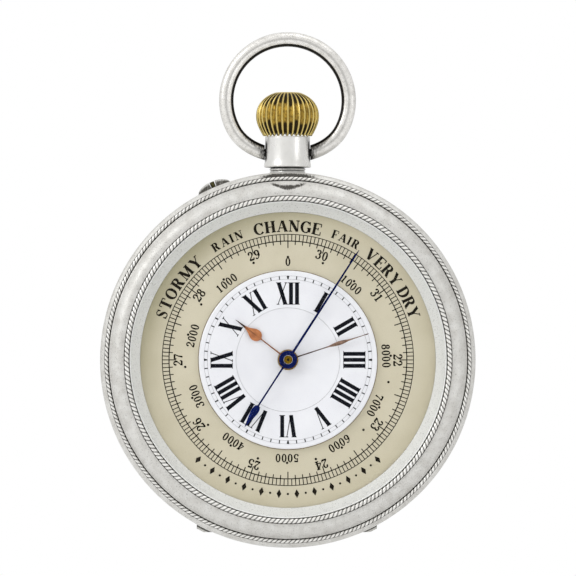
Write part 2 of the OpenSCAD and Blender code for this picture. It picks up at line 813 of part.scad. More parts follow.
// The watch's main plate, with the stem's bearing and the posts of the crown and minute wheels
module main_plate() {
  color("gold")
    difference() {
      union() {
        translate([0, 0, plate_z0])
          cylinder(h = plate_t, r = move_r, $fn = 96);
        block([-sleeve_r + 0.2, pinion_y1 + 0.8, stem_z - stem_r + 0.05],
          [sleeve_r - 0.2, move_r - 0.9, plate_z0 + eps]);
        translate([crown_wheel_at[0], crown_wheel_at[1], winding_z0])
          cylinder(h = plate_z0 - winding_z0 + eps, r = post_r);
        translate([minute_wheel_at[0], minute_wheel_at[1], plate_z1 - eps])
          cylinder(h = 0.7, r = post_r);
      }
      pin_y(pinion_y1, case_r, stem_r + run_fit);
      translate([second_at[0], second_at[1], plate_z0 - eps])
        cylinder(h = 0.45, r = second_r + 0.35);
      translate([third_at[0], third_at[1], plate_z0 - eps])
        cylinder(h = 0.45, r = third_pinion_r + 0.38);
      translate([0, 0, plate_z0 - 1])
        cylinder(h = 3, r = tube_r + eps);
      jewel_holes(plate_z1 - jewel_t, 1);
      for (p = train_places)
        translate([p[0], p[1], plate_z0 - eps])
          cylinder(h = 2, r = arbor_r + free_gap);
      for (a = move_screw_angles)
        rotate([0, 0, a])
          translate([move_screw_at, 0, plate_z1 - 0.75])
            cylinder(h = 1, r = move_screw[0] + eps);
      translate([barrel_at[0], barrel_at[1], plate_z0 - eps])
        cylinder(h = 0.6, r = barrel_arbor_r - 0.3 + run_fit);
    }
}
post_r = 0.38;
// pitch radii of the train's wheels and pinions
second_r = 4.16;
second_pinion_r = 0.6;
third_r = 3.6;
third_pinion_r = 0.52;
fourth_r = 3.5;
fourth_pinion_r = 0.48;
escape_pinion_r = 0.35;
jewel_t = 0.35;
jewel_r = 0.5;
train_places = [second_at, third_at, fourth_at, escape_at, fork_at, balance_at];

// The round seats of the jewels at one height
module jewel_holes(z0, h) {
  for (p = train_places)
    translate([p[0], p[1], z0])
      cylinder(h = h, r = jewel_r + eps);
}

// The fixed tube that the hands turn round and the pointer's arbor turns in
module centre_tube() {
  color("lightsteelblue")
    tube(bridge_z0 - 0.6, hand_z_top - bridge_z0 + 0.6, tube_r, pointer_arbor_r + 0.07);
}
hand_z_top = minute_z + hand_t;

// One screw with its head under z
module small_screw(p, z, size, len) {
  translate([p[0], p[1], z - size[2]])
    cylinder(h = size[2], r = size[1]);
  translate([p[0], p[1], z - eps])
    cylinder(h = len, r = size[0]);
}

// The screw holes of a bridge
module pillar_holes(places) {
  for (p = places)
    translate([p[0], p[1], bridge_z0 - eps])
      cylinder(h = bridge_screw_len + 0.2, r = bridge_screw[0] + eps);
}

bridge_screw_len = 1.5;

// The bridge over the barrel and the winding wheels
module barrel_bridge() {
  color("gold")
    difference() {
      union() {
        translate([0, 0, bridge_z0])
          intersection() {
            cylinder(h = bridge_t, r = move_r - bridge_in, $fn = 96);
            linear_extrude(height = bridge_t)
              polygon([[-5.6, move_r], [move_r, move_r], [move_r, 1.5], [3, 1.5], [-2.6, 3.6], [-5.6, 8]]);
          }
        for (p = pillars_barrel)
          translate([p[0], p[1], bridge_z0])
            cylinder(h = plate_z0 - bridge_z0, r = pillar_r);
      }
      pillar_holes(pillars_barrel);
      translate([barrel_at[0], barrel_at[1], bridge_z0 - eps])
        cylinder(h = 2, r = barrel_arbor_r - 0.2 + run_fit);
      translate([crown_wheel_at[0], crown_wheel_at[1], bridge_z0 - eps])
        cylinder(h = 2, r = crown_wheel_r + 0.25);
      block([-sleeve_r, crown_wheel_at[1], bridge_z0 - 1], [sleeve_r, move_r, bridge_z1 + 2]);
      translate([click_at[0], click_at[1], bridge_z0 - eps])
        cylinder(h = 0.5, r = 0.3 + run_fit);
    }
}
bridge_in = 0.2;
barrel_arbor_r = 0.8;
barrel_wheel_r = 4.8;
drum_r = barrel_wheel_r - 0.5;
barrel_wall = 0.25;
winding_module = 2 * norm(crown_wheel_at - barrel_at) / 60;
crown_wheel_r = 12 * winding_module;
ratchet_r = 18 * winding_module;
click_at = [9.4, 8];

// The bridge over the going train
module train_bridge() {
  color("gold")
    difference() {
      union() {
        translate([0, 0, bridge_z0])
          intersection() {
            cylinder(h = bridge_t, r = move_r - bridge_in, $fn = 96);
            union() {
              linear_extrude(height = bridge_t)
                polygon([[move_r, 1.3], [3, 1.3], [-1.2, 2.8], [-1.2, -2.5], [-4.9, -5], [-4.9, -move_r],
                  [move_r, -move_r]]);
              translate([pillars_train[1][0], pillars_train[1][1], 0])
                cylinder(h = bridge_t, r = pillar_r + 0.3);
            }
          }
        for (p = pillars_train)
          translate([p[0], p[1], bridge_z0])
            cylinder(h = plate_z0 - bridge_z0, r = pillar_r);
      }
      pillar_holes(pillars_train);
      jewel_holes(bridge_z0 - eps, jewel_t + eps);
      for (p = [second_at, third_at, fourth_at, escape_at, fork_at])
        translate([p[0], p[1], bridge_z0])
          cylinder(h = 2, r = arbor_r + free_gap);
      translate([0, 0, bridge_z0 - 1])
        cylinder(h = 3, r = tube_r + eps);
    }
}

// The cock that carries the balance
module balance_cock() {
  away = heading(pillar_cock, balance_at);
  color("gold")
    difference() {
      union() {
        translate([pillar_cock[0], pillar_cock[1], bridge_z0]) {
          rotate([0, 0, away])
            block([0, -pillar_r + 0.1, 0], [span(pillar_cock, balance_at), pillar_r - 0.1, bridge_t - 0.1]);
          cylinder(h = plate_z0 - bridge_z0, r = pillar_r);
        }
        translate([balance_at[0], balance_at[1], bridge_z0])
          cylinder(h = bridge_t - 0.1, r = cock_end_r);
      }
      pillar_holes([pillar_cock]);
      jewel_holes(bridge_z0 - eps, jewel_t + eps);
      translate([balance_at[0], balance_at[1], bridge_z0])
        cylinder(h = 2, r = arbor_r + free_gap);
    }
}
cock_end_r = 1.7;

// The screws of the bridges and of the winding wheels' cover
module movement_screws() {
  color("steelblue")
    for (p = concat(pillars_barrel, pillars_train, [pillar_cock]))
      small_screw(p, bridge_z0, bridge_screw, bridge_screw_len);
}

// The ruby bearings in the bridges and the main plate
module jewels() {
  color("crimson")
    for (p = train_places)
      translate([p[0], p[1], 0]) {
        tube(bridge_z0, jewel_t - eps, jewel_r, pivot_r + run_fit);
        tube(plate_z1 - jewel_t + eps, jewel_t - eps, jewel_r, pivot_r + run_fit);
      }
}
pivot_r = 0.1;

// The wheel that passes the stem's turning to the ratchet wheel
module crown_wheel() {
  turned = heading(crown_wheel_at, barrel_at);
  color("silver")
    translate([crown_wheel_at[0], crown_wheel_at[1], 0]) {
      gear(24, crown_wheel_r, winding_z0, winding_t, post_r + run_fit, turned);
      for (i = [0 : 23])
        rotate([0, 0, (i + 0.5) * 15 + 90])
          block([crown_wheel_r - 0.6, -0.07, winding_z1 - 0.01], [crown_wheel_r - 0.2, 0.07, winding_z1 + 0.16]);
    }
}

// The wheel on the barrel arbor that winds the mainspring
module ratchet_wheel() {
  color("silver")
    translate([barrel_at[0], barrel_at[1], 0])
      gear(36, ratchet_r, winding_z0, winding_t, 0.4, heading(barrel_at, crown_wheel_at) + 5);
}

// The pawl that stops the ratchet wheel from running back
module click() {
  color("silver")
    translate([click_at[0], click_at[1], 0])
      rotate([0, 0, heading(click_at, barrel_at)]) {
        tube(winding_z0, winding_t, 0.75, 0.3);
        block([0.6, -0.3, winding_z0], [span(click_at, barrel_at) - ratchet_r - 0.22, 0.3, winding_z1]);
        translate([0, 0, winding_z0])
          cylinder(h = winding_t + 0.5, r = 0.3);
      }
}

// The arbor that the mainspring is hooked to
module barrel_arbor() {
  color("lightsteelblue")
    translate([barrel_at[0], barrel_at[1], 0]) {
      translate([0, 0, winding_z0])
        cylinder(h = winding_t, r = 0.4 - eps / 2);
      translate([0, 0, winding_z1])
        cylinder(h = barrel_z0 - winding_z1, r = barrel_arbor_r - 0.2);
      translate([0, 0, barrel_z0 - eps])
        cylinder(h = barrel_h, r = barrel_arbor_r);
      translate([0, 0, barrel_z0])
        cylinder(h = plate_z0 - bridge_z1 + 0.3, r = barrel_arbor_r - 0.3);
    }
}
barrel_z0 = bridge_z1 + 0.15;
barrel_h = plate_z0 - bridge_z1 - 0.3;

// The toothed drum that holds the mainspring
module barrel() {
  color("goldenrod")
    translate([barrel_at[0], barrel_at[1], 0])
      difference() {
        union() {
          translate([0, 0, barrel_z0])
            cylinder(h = barrel_h, r = drum_r);
          gear(80, barrel_wheel_r, barrel_z0 + barrel_h - 0.5, 0.5, 1, heading(barrel_at, second_at));
        }
        translate([0, 0, barrel_z0 + 0.2])
          cylinder(h = barrel_h - 0.4, r = drum_r - barrel_wall);
        translate([0, 0, barrel_z0 - 1])
          cylinder(h = barrel_h + 2, r = barrel_arbor_r + run_fit);
      }
}

// The mainspring, coiled in the barrel
module mainspring() {
  color("slategray")
    translate([barrel_at[0], barrel_at[1], 0])
      spiral_strip(barrel_arbor_r + 0.25, drum_r - barrel_wall - 0.2, 6, 0.16, barrel_z0 + 0.3, barrel_h - 0.6);
}

// An arbor with its two pivots, from the bridge to the main plate
module train_arbor() {
  translate([0, 0, bridge_z0 + jewel_t])
    cylinder(h = plate_z1 - jewel_t - bridge_z0 - jewel_t, r = arbor_r);
  translate([0, 0, bridge_z0 + 0.05])
    cylinder(h = plate_z1 - bridge_z0 - 0.1, r = pivot_r);
}

// Second wheel: ten leaves in the barrel's teeth, its wheel in a pocket of the main plate
module second_wheel() {
  color("goldenrod")
    translate([second_at[0], second_at[1], 0]) {
      train_arbor();
      gear(10, second_pinion_r, plate_z0 - 0.65, 0.55, arbor_r / 2, heading(second_at, barrel_at) + 18);
      crossed_wheel(64, second_r, plate_z0 + 0.1, heading(second_at, third_at), 5);
    }
}

// Third wheel
module third_wheel() {
  color("goldenrod")
    translate([third_at[0], third_at[1], 0]) {
      train_arbor();
      gear(8, third_pinion_r, plate_z0 + 0.02, 0.35, arbor_r / 2, heading(third_at, second_at) + 22.5);
      crossed_wheel(60, third_r, train_z - 0.1, heading(third_at, fourth_at), 5);
    }
}

// Fourth wheel
module fourth_wheel() {
  color("goldenrod")
    translate([fourth_at[0], fourth_at[1], 0]) {
      train_arbor();
      gear(8, fourth_pinion_r, train_z - 0.2, 0.4, arbor_r / 2, heading(fourth_at, third_at) + 22.5);
      crossed_wheel(70, fourth_r, train_z - 0.7, heading(fourth_at, escape_at), 4);
    }
}

// Escape wheel with fifteen hooked teeth
module escape_wheel() {
  tip = 2.2;
  color("lightsteelblue")
    translate([escape_at[0], escape_at[1], 0]) {
      train_arbor();
      gear(7, escape_pinion_r, train_z - 0.8, 0.4, arbor_r / 2, heading(escape_at, fourth_at) + 180 / 7);
      translate([0, 0, train_z - 0.1])
        difference() {
          linear_extrude(height = wheel_t)
            polygon([for (i = [0 : 14]) for (k = [[0, 1.7], [8, 1.75], [14, tip], [16, tip], [14, 1.7]])
              k[1] * [cos(24 * i + k[0]), sin(24 * i + k[0])]]);
          difference() {
            cylinder(h = 2, r = 1.4, center = true);
            cylinder(h = 2, r = 0.6, center = true);
            for (a = [0, 90])
              rotate([0, 0, a])
                cube([3, 0.3, 2], center = true);
          }
        }
    }
}

// Pallet fork between the escape wheel and the balance
module pallet_fork() {
  toward = heading(fork_at, balance_at);
  reach = span(fork_at, balance_at) - 0.55;
  z0 = train_z - 0.1;
  color("lightsteelblue")
    translate([fork_at[0], fork_at[1], 0]) {
      train_arbor();
      rotate([0, 0, toward])
        translate([0, 0, z0])
          linear_extrude(height = wheel_t)
            polygon([
              [-0.35, -0.4], [0, -1.9], [-0.9, -2.2], [-1.15, -2.1], [-0.95, -1.9], [-0.3, -1.7], [-0.45, 0],
              [-0.3, 1.7], [-0.95, 1.9], [-1.15, 2.1], [-0.9, 2.2], [0, 1.9], [0.35, 0.35],
              [reach - 0.5, 0.12], [reach, 0.3], [reach, 0.14], [reach - 0.35, 0],
              [reach, -0.14], [reach, -0.3], [reach - 0.5, -0.12], [0.35, -0.35]
            ]);
    }
}

// The balance: rim, two arms, staff, roller and timing screws
module balance_wheel() {
  z0 = bridge_z1 + 0.45;
  color("gold")
    translate([balance_at[0], balance_at[1], 0]) {
      train_arbor();
      tube(z0, 0.5, balance_r - 0.25, balance_r - 0.75);
      tube(z0 + 0.1, 0.3, 0.6, arbor_r / 2);
      block([-balance_r + 0.5, -0.3, z0 + 0.1], [balance_r - 0.5, 0.3, z0 + 0.4]);
      tube(train_z - 0.15, 0.3, 0.4, arbor_r / 2);
      for (i = [0 : 13])
        rotate([0, 0, (i + 0.5) * 360 / 14])
          translate([balance_r - 0.4, 0, z0 + 0.25])
            rotate([0, 90, 0])
              cylinder(h = 0.4, r = 0.18, $fn = 24);
    }
}

// The spiral spring of the balance
module balance_spring() {
  color("royalblue")
    translate([balance_at[0], balance_at[1], 0])
      union() {
        tube(bridge_z1 + 0.1, 0.2, 0.5, arbor_r + 0.005);
        spiral_strip(0.48, 2.6, 8, 0.08, bridge_z1 + 0.12, 0.16);
      }
}

// Cannon pinion: carries the minute hand
module cannon_pinion() {
  color("gray")
    difference() {
      union() {
        translate([0, 0, plate_z1 + 0.05])
          cylinder(h = minute_z + hand_t - plate_z1 - 0.05, r = cannon_r);
        gear(12, cannon_pinion_r, plate_z1 + 0.1, 0.25, 0.5, heading([0, 0], minute_wheel_at));
      }
      translate([0, 0, plate_z1 - 1])
        cylinder(h = 5, r = tube_r + run_fit);
    }
}
cannon_r = 0.95;
cannon_pinion_r = 1.3;
minute_wheel_r = 3.9;
minute_pinion_r = 1.04;
hour_wheel_r = 4.16;
hour_tube_r = 1.25;
dial_hole_r = hour_tube_r + 0.25;

// Minute wheel with its small pinion
module minute_wheel() {
  color("goldenrod")
    translate([minute_wheel_at[0], minute_wheel_at[1], 0]) {
      gear(36, minute_wheel_r, plate_z1 + 0.1, 0.22, post_r + run_fit, heading(minute_wheel_at, [0, 0]) + 180 / 36);
      gear(10, minute_pinion_r, plate_z1 + 0.3, 0.33, post_r + run_fit, heading(minute_wheel_at, [0, 0]));
    }
}

// Hour wheel with the tube that carries the hour hand
module hour_wheel() {
  color("goldenrod")
    difference() {
      union() {
        gear(40, hour_wheel_r, plate_z1 + 0.42, 0.2, cannon_r + 0.05, heading([0, 0], minute_wheel_at) + 180 / 40);
        translate([0, 0, plate_z1 + 0.42])
          cylinder(h = hour_z + hand_t - plate_z1 - 0.42, r = hour_tube_r);
      }
      translate([0, 0, plate_z1])
        cylinder(h = 5, r = cannon_r + 0.05);
    }
}

// A flat hand along y: profile is a list of [distance, half width]
module hand(profile, z, hub_r, hole_r, angle) {
  rotate([0, 0, -angle])
    translate([0, 0, z])
      difference() {
        union() {
          linear_extrude(height = hand_t)
            polygon(concat(
              [for (p = profile) [p[1], p[0]]],
              [for (i = [len(profile) - 1 : -1 : 0]) [-profile[i][1], profile[i][0]]]
            ));
          cylinder(h = hand_t, r = hub_r);
        }
        translate([0, 0, -eps])
          cylinder(h = hand_t + 2 * eps, r = hole_r);
      }
}

// The hour hand, with a teardrop leaf
module hour_hand() {
  w = 0.8;
  color("peru")
    hand([[0, 0.3], [2.2, 0.16], [hour_len * 0.36, 0.12], [hour_len * 0.43, 0.3], [hour_len * 0.52, 0.6],
      [hour_len * 0.6, w], [hour_len * 0.66, w * 0.95], [hour_len * 0.72, 0.55], [hour_len * 0.78, 0.22],
      [hour_len * 0.84, 0.1], [hour_len, 0.04]], hour_z, 1.75, hour_tube_r + 0.005, hour_angle);
}

// The minute hand, with a slim leaf
module minute_hand() {
  color("peru")
    hand([[0, 0.25], [2, 0.14], [minute_len * 0.48, 0.1], [minute_len * 0.56, 0.26], [minute_len * 0.64, 0.4],
      [minute_len * 0.7, 0.3], [minute_len * 0.76, 0.12], [minute_len, 0.04]],
      minute_z, 1.45, cannon_r + 0.005, minute_angle);
}

// The blued barometer pointer with its leaf-shaped tail
module barometer_pointer() {
  color("midnightblue")
    hand([[-tail_len, 0.08], [-tail_len * 0.92, 0.32], [-tail_len * 0.82, 0.55], [-tail_len * 0.72, 0.3],
      [-tail_len * 0.67, 0.12], [-1, 0.2], [1, 0.21], [pointer_len * 0.8, 0.18], [pointer_len, 0.04]],
      pointer_z, 1.33, pointer_arbor_r + 0.005, pointer_angle);
}

// The arbor of the pointer, from its drum up through the centre tube
module pointer_arbor() {
  color("lightsteelblue") {
    translate([0, 0, cock_z0 + 0.05])
      cylinder(h = drum_z0 - cock_z0, r = 0.15);
    translate([0, 0, drum_z0])
      cylinder(h = pointer_z + hand_t - drum_z0, r = pointer_arbor_r);
    tube(drum_z0, 0.05, 0.5, 0.1);
    tube(drum_z0 + drum_h, 0.05, 0.5, 0.1);
    tube(pointer_z + hand_t, 0.25, 0.68, 0.2);
  }
}

// The plate that carries the whole barometer, screwed to the band from behind
module barometer_plate() {
  color("darkgoldenrod")
    difference() {
      translate([0, 0, baro_plate_z0])
        cylinder(h = baro_plate_t, r = baro_plate_r, $fn = 128);
      for (a = lug_angles)
        rotate([0, 0, a])
          translate([lug_at, 0, baro_plate_z0 - eps])
            cylinder(h = 2, r = plate_screw[0] + eps);
      for (a = [-35, 0, 35, 145, 180, 215])
        rotate([0, 0, a])
          translate([capsule_r + window_r + 4, 0, baro_plate_z0 - eps])
            cylinder(h = 2, r = window_r);
      translate([0, bridge_y, baro_plate_z0 - eps])
        cylinder(h = 2, r = adjust_r + eps);
      // room for the covers' knuckles
      pin_x(-hinge_len, hinge_len, hinge_y, back_seam_z, barrel_r + seat_fit);
    }
}
window_r = 3;
adjust_r = 0.5;
cock_foot_r = 1;
cock_foot_x = capsule_r + 2.9;
leaf_y = capsule_r + 2.9;
bridge_y = leaf_y + 2.6;
rocker_y = -capsule_r - 7;
rocker_z = chain_z - chain_arm;

// The corrugated capsule with no air inside, and its boss for the post
module vacuum_capsule() {
  z1 = capsule_z1;
  waves = [for (i = [0 : 12]) [capsule_r - 0.6 - i * (capsule_r - 2.6) / 12, z1 - 0.2 + (i % 2 == 0 ? 0.2 : 0)]];
  color("tan")
    difference() {
      rotate_extrude($fn = 96)
        polygon(concat(
          [[0, baro_plate_z1], [capsule_r, baro_plate_z1], [capsule_r, baro_plate_z1 + 0.25],
            [capsule_r - 0.4, baro_plate_z1 + 0.4], [capsule_r - 0.4, z1 - 0.4]],
          waves,
          [[1.6, z1 + 0.1], [1.6, z1 + 0.25], [0, z1 + 0.25]]
        ));
      translate([0, 0, z1 - 0.6])
        cylinder(h = 2, r = post_rad + run_fit);
    }
}
post_rad = 0.6;

// The post that joins the capsule to the leaf spring
module capsule_post() {
  color("lightsteelblue")
    translate([0, 0, capsule_z1 - 0.5])
      cylinder(h = spring_z0 - free_gap - capsule_z1 + 0.5, r = post_rad);
}

// The strong leaf spring that holds the capsule open
module leaf_spring() {
  color("lightsteelblue")
    translate([0, 0, spring_z0])
      linear_extrude(height = spring_t)
        polygon([[-spring_w / 2, leaf_y + 0.8], [spring_w / 2, leaf_y + 0.8], [spring_w / 2, 0], [2, -3], [-2, -3],
          [-spring_w / 2, 0]]);
}

// The block that clamps the leaf spring
module spring_bridge() {
  half_w = spring_w / 2 + 0.5;
  color("darkgoldenrod")
    difference() {
      block([-half_w, leaf_y - 0.8, baro_plate_z1], [half_w, bridge_y + 1.6, spring_z1 + 0.5]);
      block([-half_w - 1, leaf_y - 1.8, spring_z0 - free_gap], [half_w + 1, leaf_y + 0.9, spring_z1 + free_gap]);
      translate([0, bridge_y, baro_plate_z1 - eps])
        cylinder(h = 1.5, r = adjust_r + eps);
    }
}

// The long lever on the leaf spring, with the link that hangs from its end
module main_lever() {
  link_x = 0.4;
  end_y = rocker_y + link_arm * cos(rocker_tilt);
  color("goldenrod") {
    block([-0.8, end_y - 0.4, spring_z0], [0.8, -3, spring_z1]);
    difference() {
      block([link_x, end_y - 0.45, link_z - 0.5], [link_x + 0.4, end_y + 0.45, spring_z0 + eps]);
      pin_x(0, 2, end_y, link_z, 0.32);
    }
  }
}
link_z = rocker_z - link_arm * sin(rocker_tilt);

// The rocking shaft: one arm is turned by the link, the other pulls the chain
module rocking_shaft() {
  color("lightsteelblue")
    translate([0, rocker_y, rocker_z])
      rotate([-rocker_tilt, 0, 0]) {
        pin_x(-ear_x - 0.3, ear_x + 0.3, 0, 0, rocker_r);
        block([-0.35, -0.2, 0], [0.15, 0.2, chain_arm + 0.15]);
        block([1, 0, -0.25], [1.4, link_arm + 0.2, 0.25]);
        pin_x(0.4, 1.1, link_arm, 0, 0.15);
      }
}

// The bracket with the two ears that the rocking shaft turns in
module rocker_bracket() {
  color("darkgoldenrod")
    difference() {
      union() {
        block([-ear_x, rocker_y - ear_r, baro_plate_z1], [ear_x, rocker_y + ear_r, baro_plate_z1 + bracket_t]);
        for (x = [-ear_x, ear_x - ear_t])
          block([x, rocker_y - ear_r, baro_plate_z1], [x + ear_t, rocker_y + ear_r, rocker_z + ear_r]);
      }
      pin_x(-ear_x - 1, ear_x + 1, rocker_y, rocker_z, rocker_r + run_fit);
      for (x = [-4, 4])
        translate([x, rocker_y, baro_plate_z1 - eps])
          cylinder(h = 1, r = plate_screw[0] + eps);
    }
}
bracket_t = 0.5;
ear_x = 6.6;
ear_t = 0.6;
ear_r = 0.9;

// The fine chain from the rocking shaft to the drum
module pointer_chain() {
  y0 = rocker_y + chain_arm * sin(rocker_tilt) + 0.5;
  links = 26;
  pitch = (-0.1 - y0) / links;
  color("goldenrod")
    for (i = [0 : links - 1])
      translate([-0.41, y0 + pitch * (i + 0.5), chain_z])
        cube([i % 2 == 0 ? 0.1 : 0.05, pitch + eps, i % 2 == 0 ? 0.14 : 0.09], center = true);
}

// The cock under the pointer's drum
module pointer_cock() {
  color("goldenrod")
    difference() {
      union() {
        block([-cock_foot_x - cock_foot_r, -cock_foot_r, cock_z0], [cock_foot_x + cock_foot_r, cock_foot_r, cock_z1]);
        for (s = [-1, 1])
          translate([s * cock_foot_x, 0, baro_plate_z1])
            cylinder(h = cock_z1 - baro_plate_z1, r = cock_foot_r);
      }
      translate([0, 0, cock_z0 - 1])
        cylinder(h = 3, r = 0.15 + run_fit);
      for (s = [-1, 1])
        translate([s * cock_foot_x, 0, cock_z1 - 1.5])
          cylinder(h = 2, r = plate_screw[0] + eps);
    }
}

// The fine spiral that takes up the chain's slack
module pointer_hairspring() {
  z0 = drum_z0 + drum_h + 0.1;
  color("royalblue") {
    tube(z0, 0.12, 0.5, pointer_arbor_r + 0.005);
    spiral_strip(0.48, 2.2, 6, 0.08, z0, 0.12);
  }
}

// The screw at the back that sets the barometer
module adjusting_screw() {
  color("steelblue")
    difference() {
      union() {
        translate([0, bridge_y, baro_plate_z0 - 0.5])
          cylinder(h = 0.5, r = 1.2);
        translate([0, bridge_y, baro_plate_z0 - 0.1])
          cylinder(h = baro_plate_t + 1.4, r = adjust_r);
      }
      block([-2, bridge_y - 0.15, baro_plate_z0 - 1], [2, bridge_y + 0.15, baro_plate_z0 - 0.3]);
    }
}

// The screws of the barometer plate, the pointer cock and the bracket
module barometer_screws() {
  color("steelblue") {
    for (a = lug_angles)
      rotate([0, 0, a])
        small_screw([lug_at, 0], baro_plate_z0, plate_screw, baro_plate_t + lug_h - 0.7);
    for (s = [-1, 1])
      translate([s * cock_foot_x, 0, cock_z1]) {
        cylinder(h = plate_screw[2], r = plate_screw[1]);
        translate([0, 0, -1.4])
          cylinder(h = 1.5, r = plate_screw[0]);
      }
    for (x = [-4, 4])
      translate([x, rocker_y, baro_plate_z1 + free_gap]) {
        cylinder(h = bracket_t, r = plate_screw[0]);
        translate([0, 0, bracket_t - free_gap])
          cylinder(h = plate_screw[2], r = plate_screw[1] - 0.05);
      }
  }
}

placed() case_band();
placed() pendant();
placed() stem_sleeve();
placed() pin_guard();
placed() hinge_pin();
placed() bezel();
placed() crystal();
placed() back_cover();
placed() dust_cover();
placed() bow();
placed() crown();
placed() winding_stem();
placed() winding_pinion();
placed() setting_pin();
placed() setting_pin_spring();
placed() barometer_dial();
placed() watch_dial();
placed() movement_ring();
placed() case_screws();
placed() main_plate();
placed() centre_tube();
placed() barrel_bridge();
placed() train_bridge();
placed() balance_cock();
placed() movement_screws();
placed() jewels();
placed() crown_wheel();
placed() ratchet_wheel();
placed() click();
placed() barrel_arbor();
placed() barrel();
placed() mainspring();
placed() second_wheel();
placed() third_wheel();
placed() fourth_wheel();
placed() escape_wheel();
placed() pallet_fork();
placed() balance_wheel();
placed() balance_spring();
placed() cannon_pinion();
placed() minute_wheel();
placed() hour_wheel();
placed() hour_hand();
placed() minute_hand();
placed() barometer_plate();
placed() vacuum_capsule();
placed() capsule_post();
placed() leaf_spring();
placed() spring_bridge();
placed() main_lever();
placed() rocking_shaft();
placed() rocker_bracket();
placed() pointer_chain();
placed() pointer_arbor();
placed() pointer_cock();
placed() pointer_hairspring();
placed() barometer_pointer();
placed() adjusting_screw();
placed() barometer_screws();
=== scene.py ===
"""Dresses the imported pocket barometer: a silver watch with an aneroid barometer round its dial.

Sizes are millimetres. The dial's centre is the origin, x runs to three o'clock, y to twelve
o'clock and f forward to the viewer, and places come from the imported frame's own boxes.
"""

import logging
import math
from dataclasses import dataclass
from enum import Enum
from functools import cache, partial
from typing import Callable, Iterable

import bmesh
import bpy
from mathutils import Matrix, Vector


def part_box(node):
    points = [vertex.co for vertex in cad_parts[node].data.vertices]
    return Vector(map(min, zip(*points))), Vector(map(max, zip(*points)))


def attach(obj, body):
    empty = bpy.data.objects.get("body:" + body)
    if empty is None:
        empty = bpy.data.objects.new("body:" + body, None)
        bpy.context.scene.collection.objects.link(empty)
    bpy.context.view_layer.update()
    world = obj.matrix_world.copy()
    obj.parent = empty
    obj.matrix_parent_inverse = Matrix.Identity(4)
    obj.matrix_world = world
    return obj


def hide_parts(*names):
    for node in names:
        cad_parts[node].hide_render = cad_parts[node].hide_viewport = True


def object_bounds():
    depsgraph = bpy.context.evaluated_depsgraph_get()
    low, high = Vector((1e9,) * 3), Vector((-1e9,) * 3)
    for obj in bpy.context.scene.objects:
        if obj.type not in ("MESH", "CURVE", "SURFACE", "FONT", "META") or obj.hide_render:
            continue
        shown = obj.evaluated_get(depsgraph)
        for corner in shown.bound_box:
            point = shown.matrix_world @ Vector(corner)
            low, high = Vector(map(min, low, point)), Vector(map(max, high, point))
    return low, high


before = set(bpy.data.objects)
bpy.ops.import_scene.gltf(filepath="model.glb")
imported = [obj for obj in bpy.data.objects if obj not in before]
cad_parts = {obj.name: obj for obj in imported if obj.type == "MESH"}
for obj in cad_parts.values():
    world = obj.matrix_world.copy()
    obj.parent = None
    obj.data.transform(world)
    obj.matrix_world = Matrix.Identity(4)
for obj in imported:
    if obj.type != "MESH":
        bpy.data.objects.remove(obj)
CAD_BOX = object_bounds()

log = logging.getLogger("pocket_barometer")

MM = 0.001
FULL_TURN = 2 * math.pi

Point = tuple[float, float, float]
Pair = tuple[float, float]
Stroke = list[Point]
Socket = bpy.types.NodeSocket
Material = bpy.types.Material
Place = Callable[[float, float, float], Point]


class Slot(Enum):
    """The record's material slots, passed with each new piece."""

    SILVER = "silver"
    GILT_CROWN = "gilt_crown"
    CREAM_DIAL = "cream_dial"
    ENAMEL = "enamel"
    ROSE_GOLD = "rose_gold"
    BLUED_STEEL = "blued_steel"
    BRASS = "brass"


def clamp(value: float) -> float:
    """Holds a value between 0 and 1."""
    return min(1.0, max(0.0, value))


def linear(code: str) -> Point:
    """Turns a colour of six hexadecimal digits into the linear values that shaders take."""
    shares = [value / 255 for value in bytes.fromhex(code)]
    return tuple(s / 12.92 if s <= 0.04045 else ((s + 0.055) / 1.055) ** 2.4 for s in shares)


def turned(across: float, up: float, turn: float) -> Pair:
    """Turns a point of the dial's plane clockwise about its centre, by an angle in radians."""
    sine, cosine = math.sin(turn), math.cos(turn)
    return up * sine + across * cosine, up * cosine - across * sine


def around_dial(radius: float, along: float, turn: float) -> Point:
    """Places a point about the dial's axis, with turn clockwise from twelve in radians."""
    return radius * math.sin(turn), radius * math.cos(turn), along


def around_stem(radius: float, along: float, turn: float) -> Point:
    """Places a point about the stem's axis, which runs towards twelve through the crown."""
    return radius * math.cos(turn), along, radius * math.sin(turn)


def around_foot(x: float, y: float, radius: float, along: float, turn: float) -> Point:
    """Places a point about an axis that runs forward through x and y."""
    return x + radius * math.cos(turn), y + radius * math.sin(turn), along


def round_dot(x: float, y: float, size: float, cuts: Iterable[float]) -> Stroke:
    """Gives a round dot as a short stroke, cut at these shares of its radius."""
    return [(x + size / 2 * k, y, size * math.sqrt(1 - k * k)) for k in cuts]


def arc(cx: float, cy: float, radius: float, start: float, end: float, steps: int = 8) -> list[Point]:
    """Gives the points of an arc in a profile.

    Args:
        cx: Radius at its centre.
        cy: Place along the axis at its centre.
        radius: Its radius.
        start: First angle in degrees from the outward direction, turning forward.
        end: Last angle in degrees.
        steps: Steps between them.

    Returns:
        Points of radius, place along and darkness, which is 0.
    """
    turns = [math.radians(start + (end - start) * i / steps) for i in range(steps + 1)]
    return [(cx + radius * math.cos(turn), cy + radius * math.sin(turn), 0.0) for turn in turns]


def add_object(name: str, data: bpy.types.ID) -> bpy.types.Object:
    """Puts a new object in the scene.

    Args:
        name: The object's name.
        data: Its mesh, lamp or camera.

    Returns:
        The object.
    """
    made = bpy.data.objects.new(name, data)
    bpy.context.scene.collection.objects.link(made)
    return made


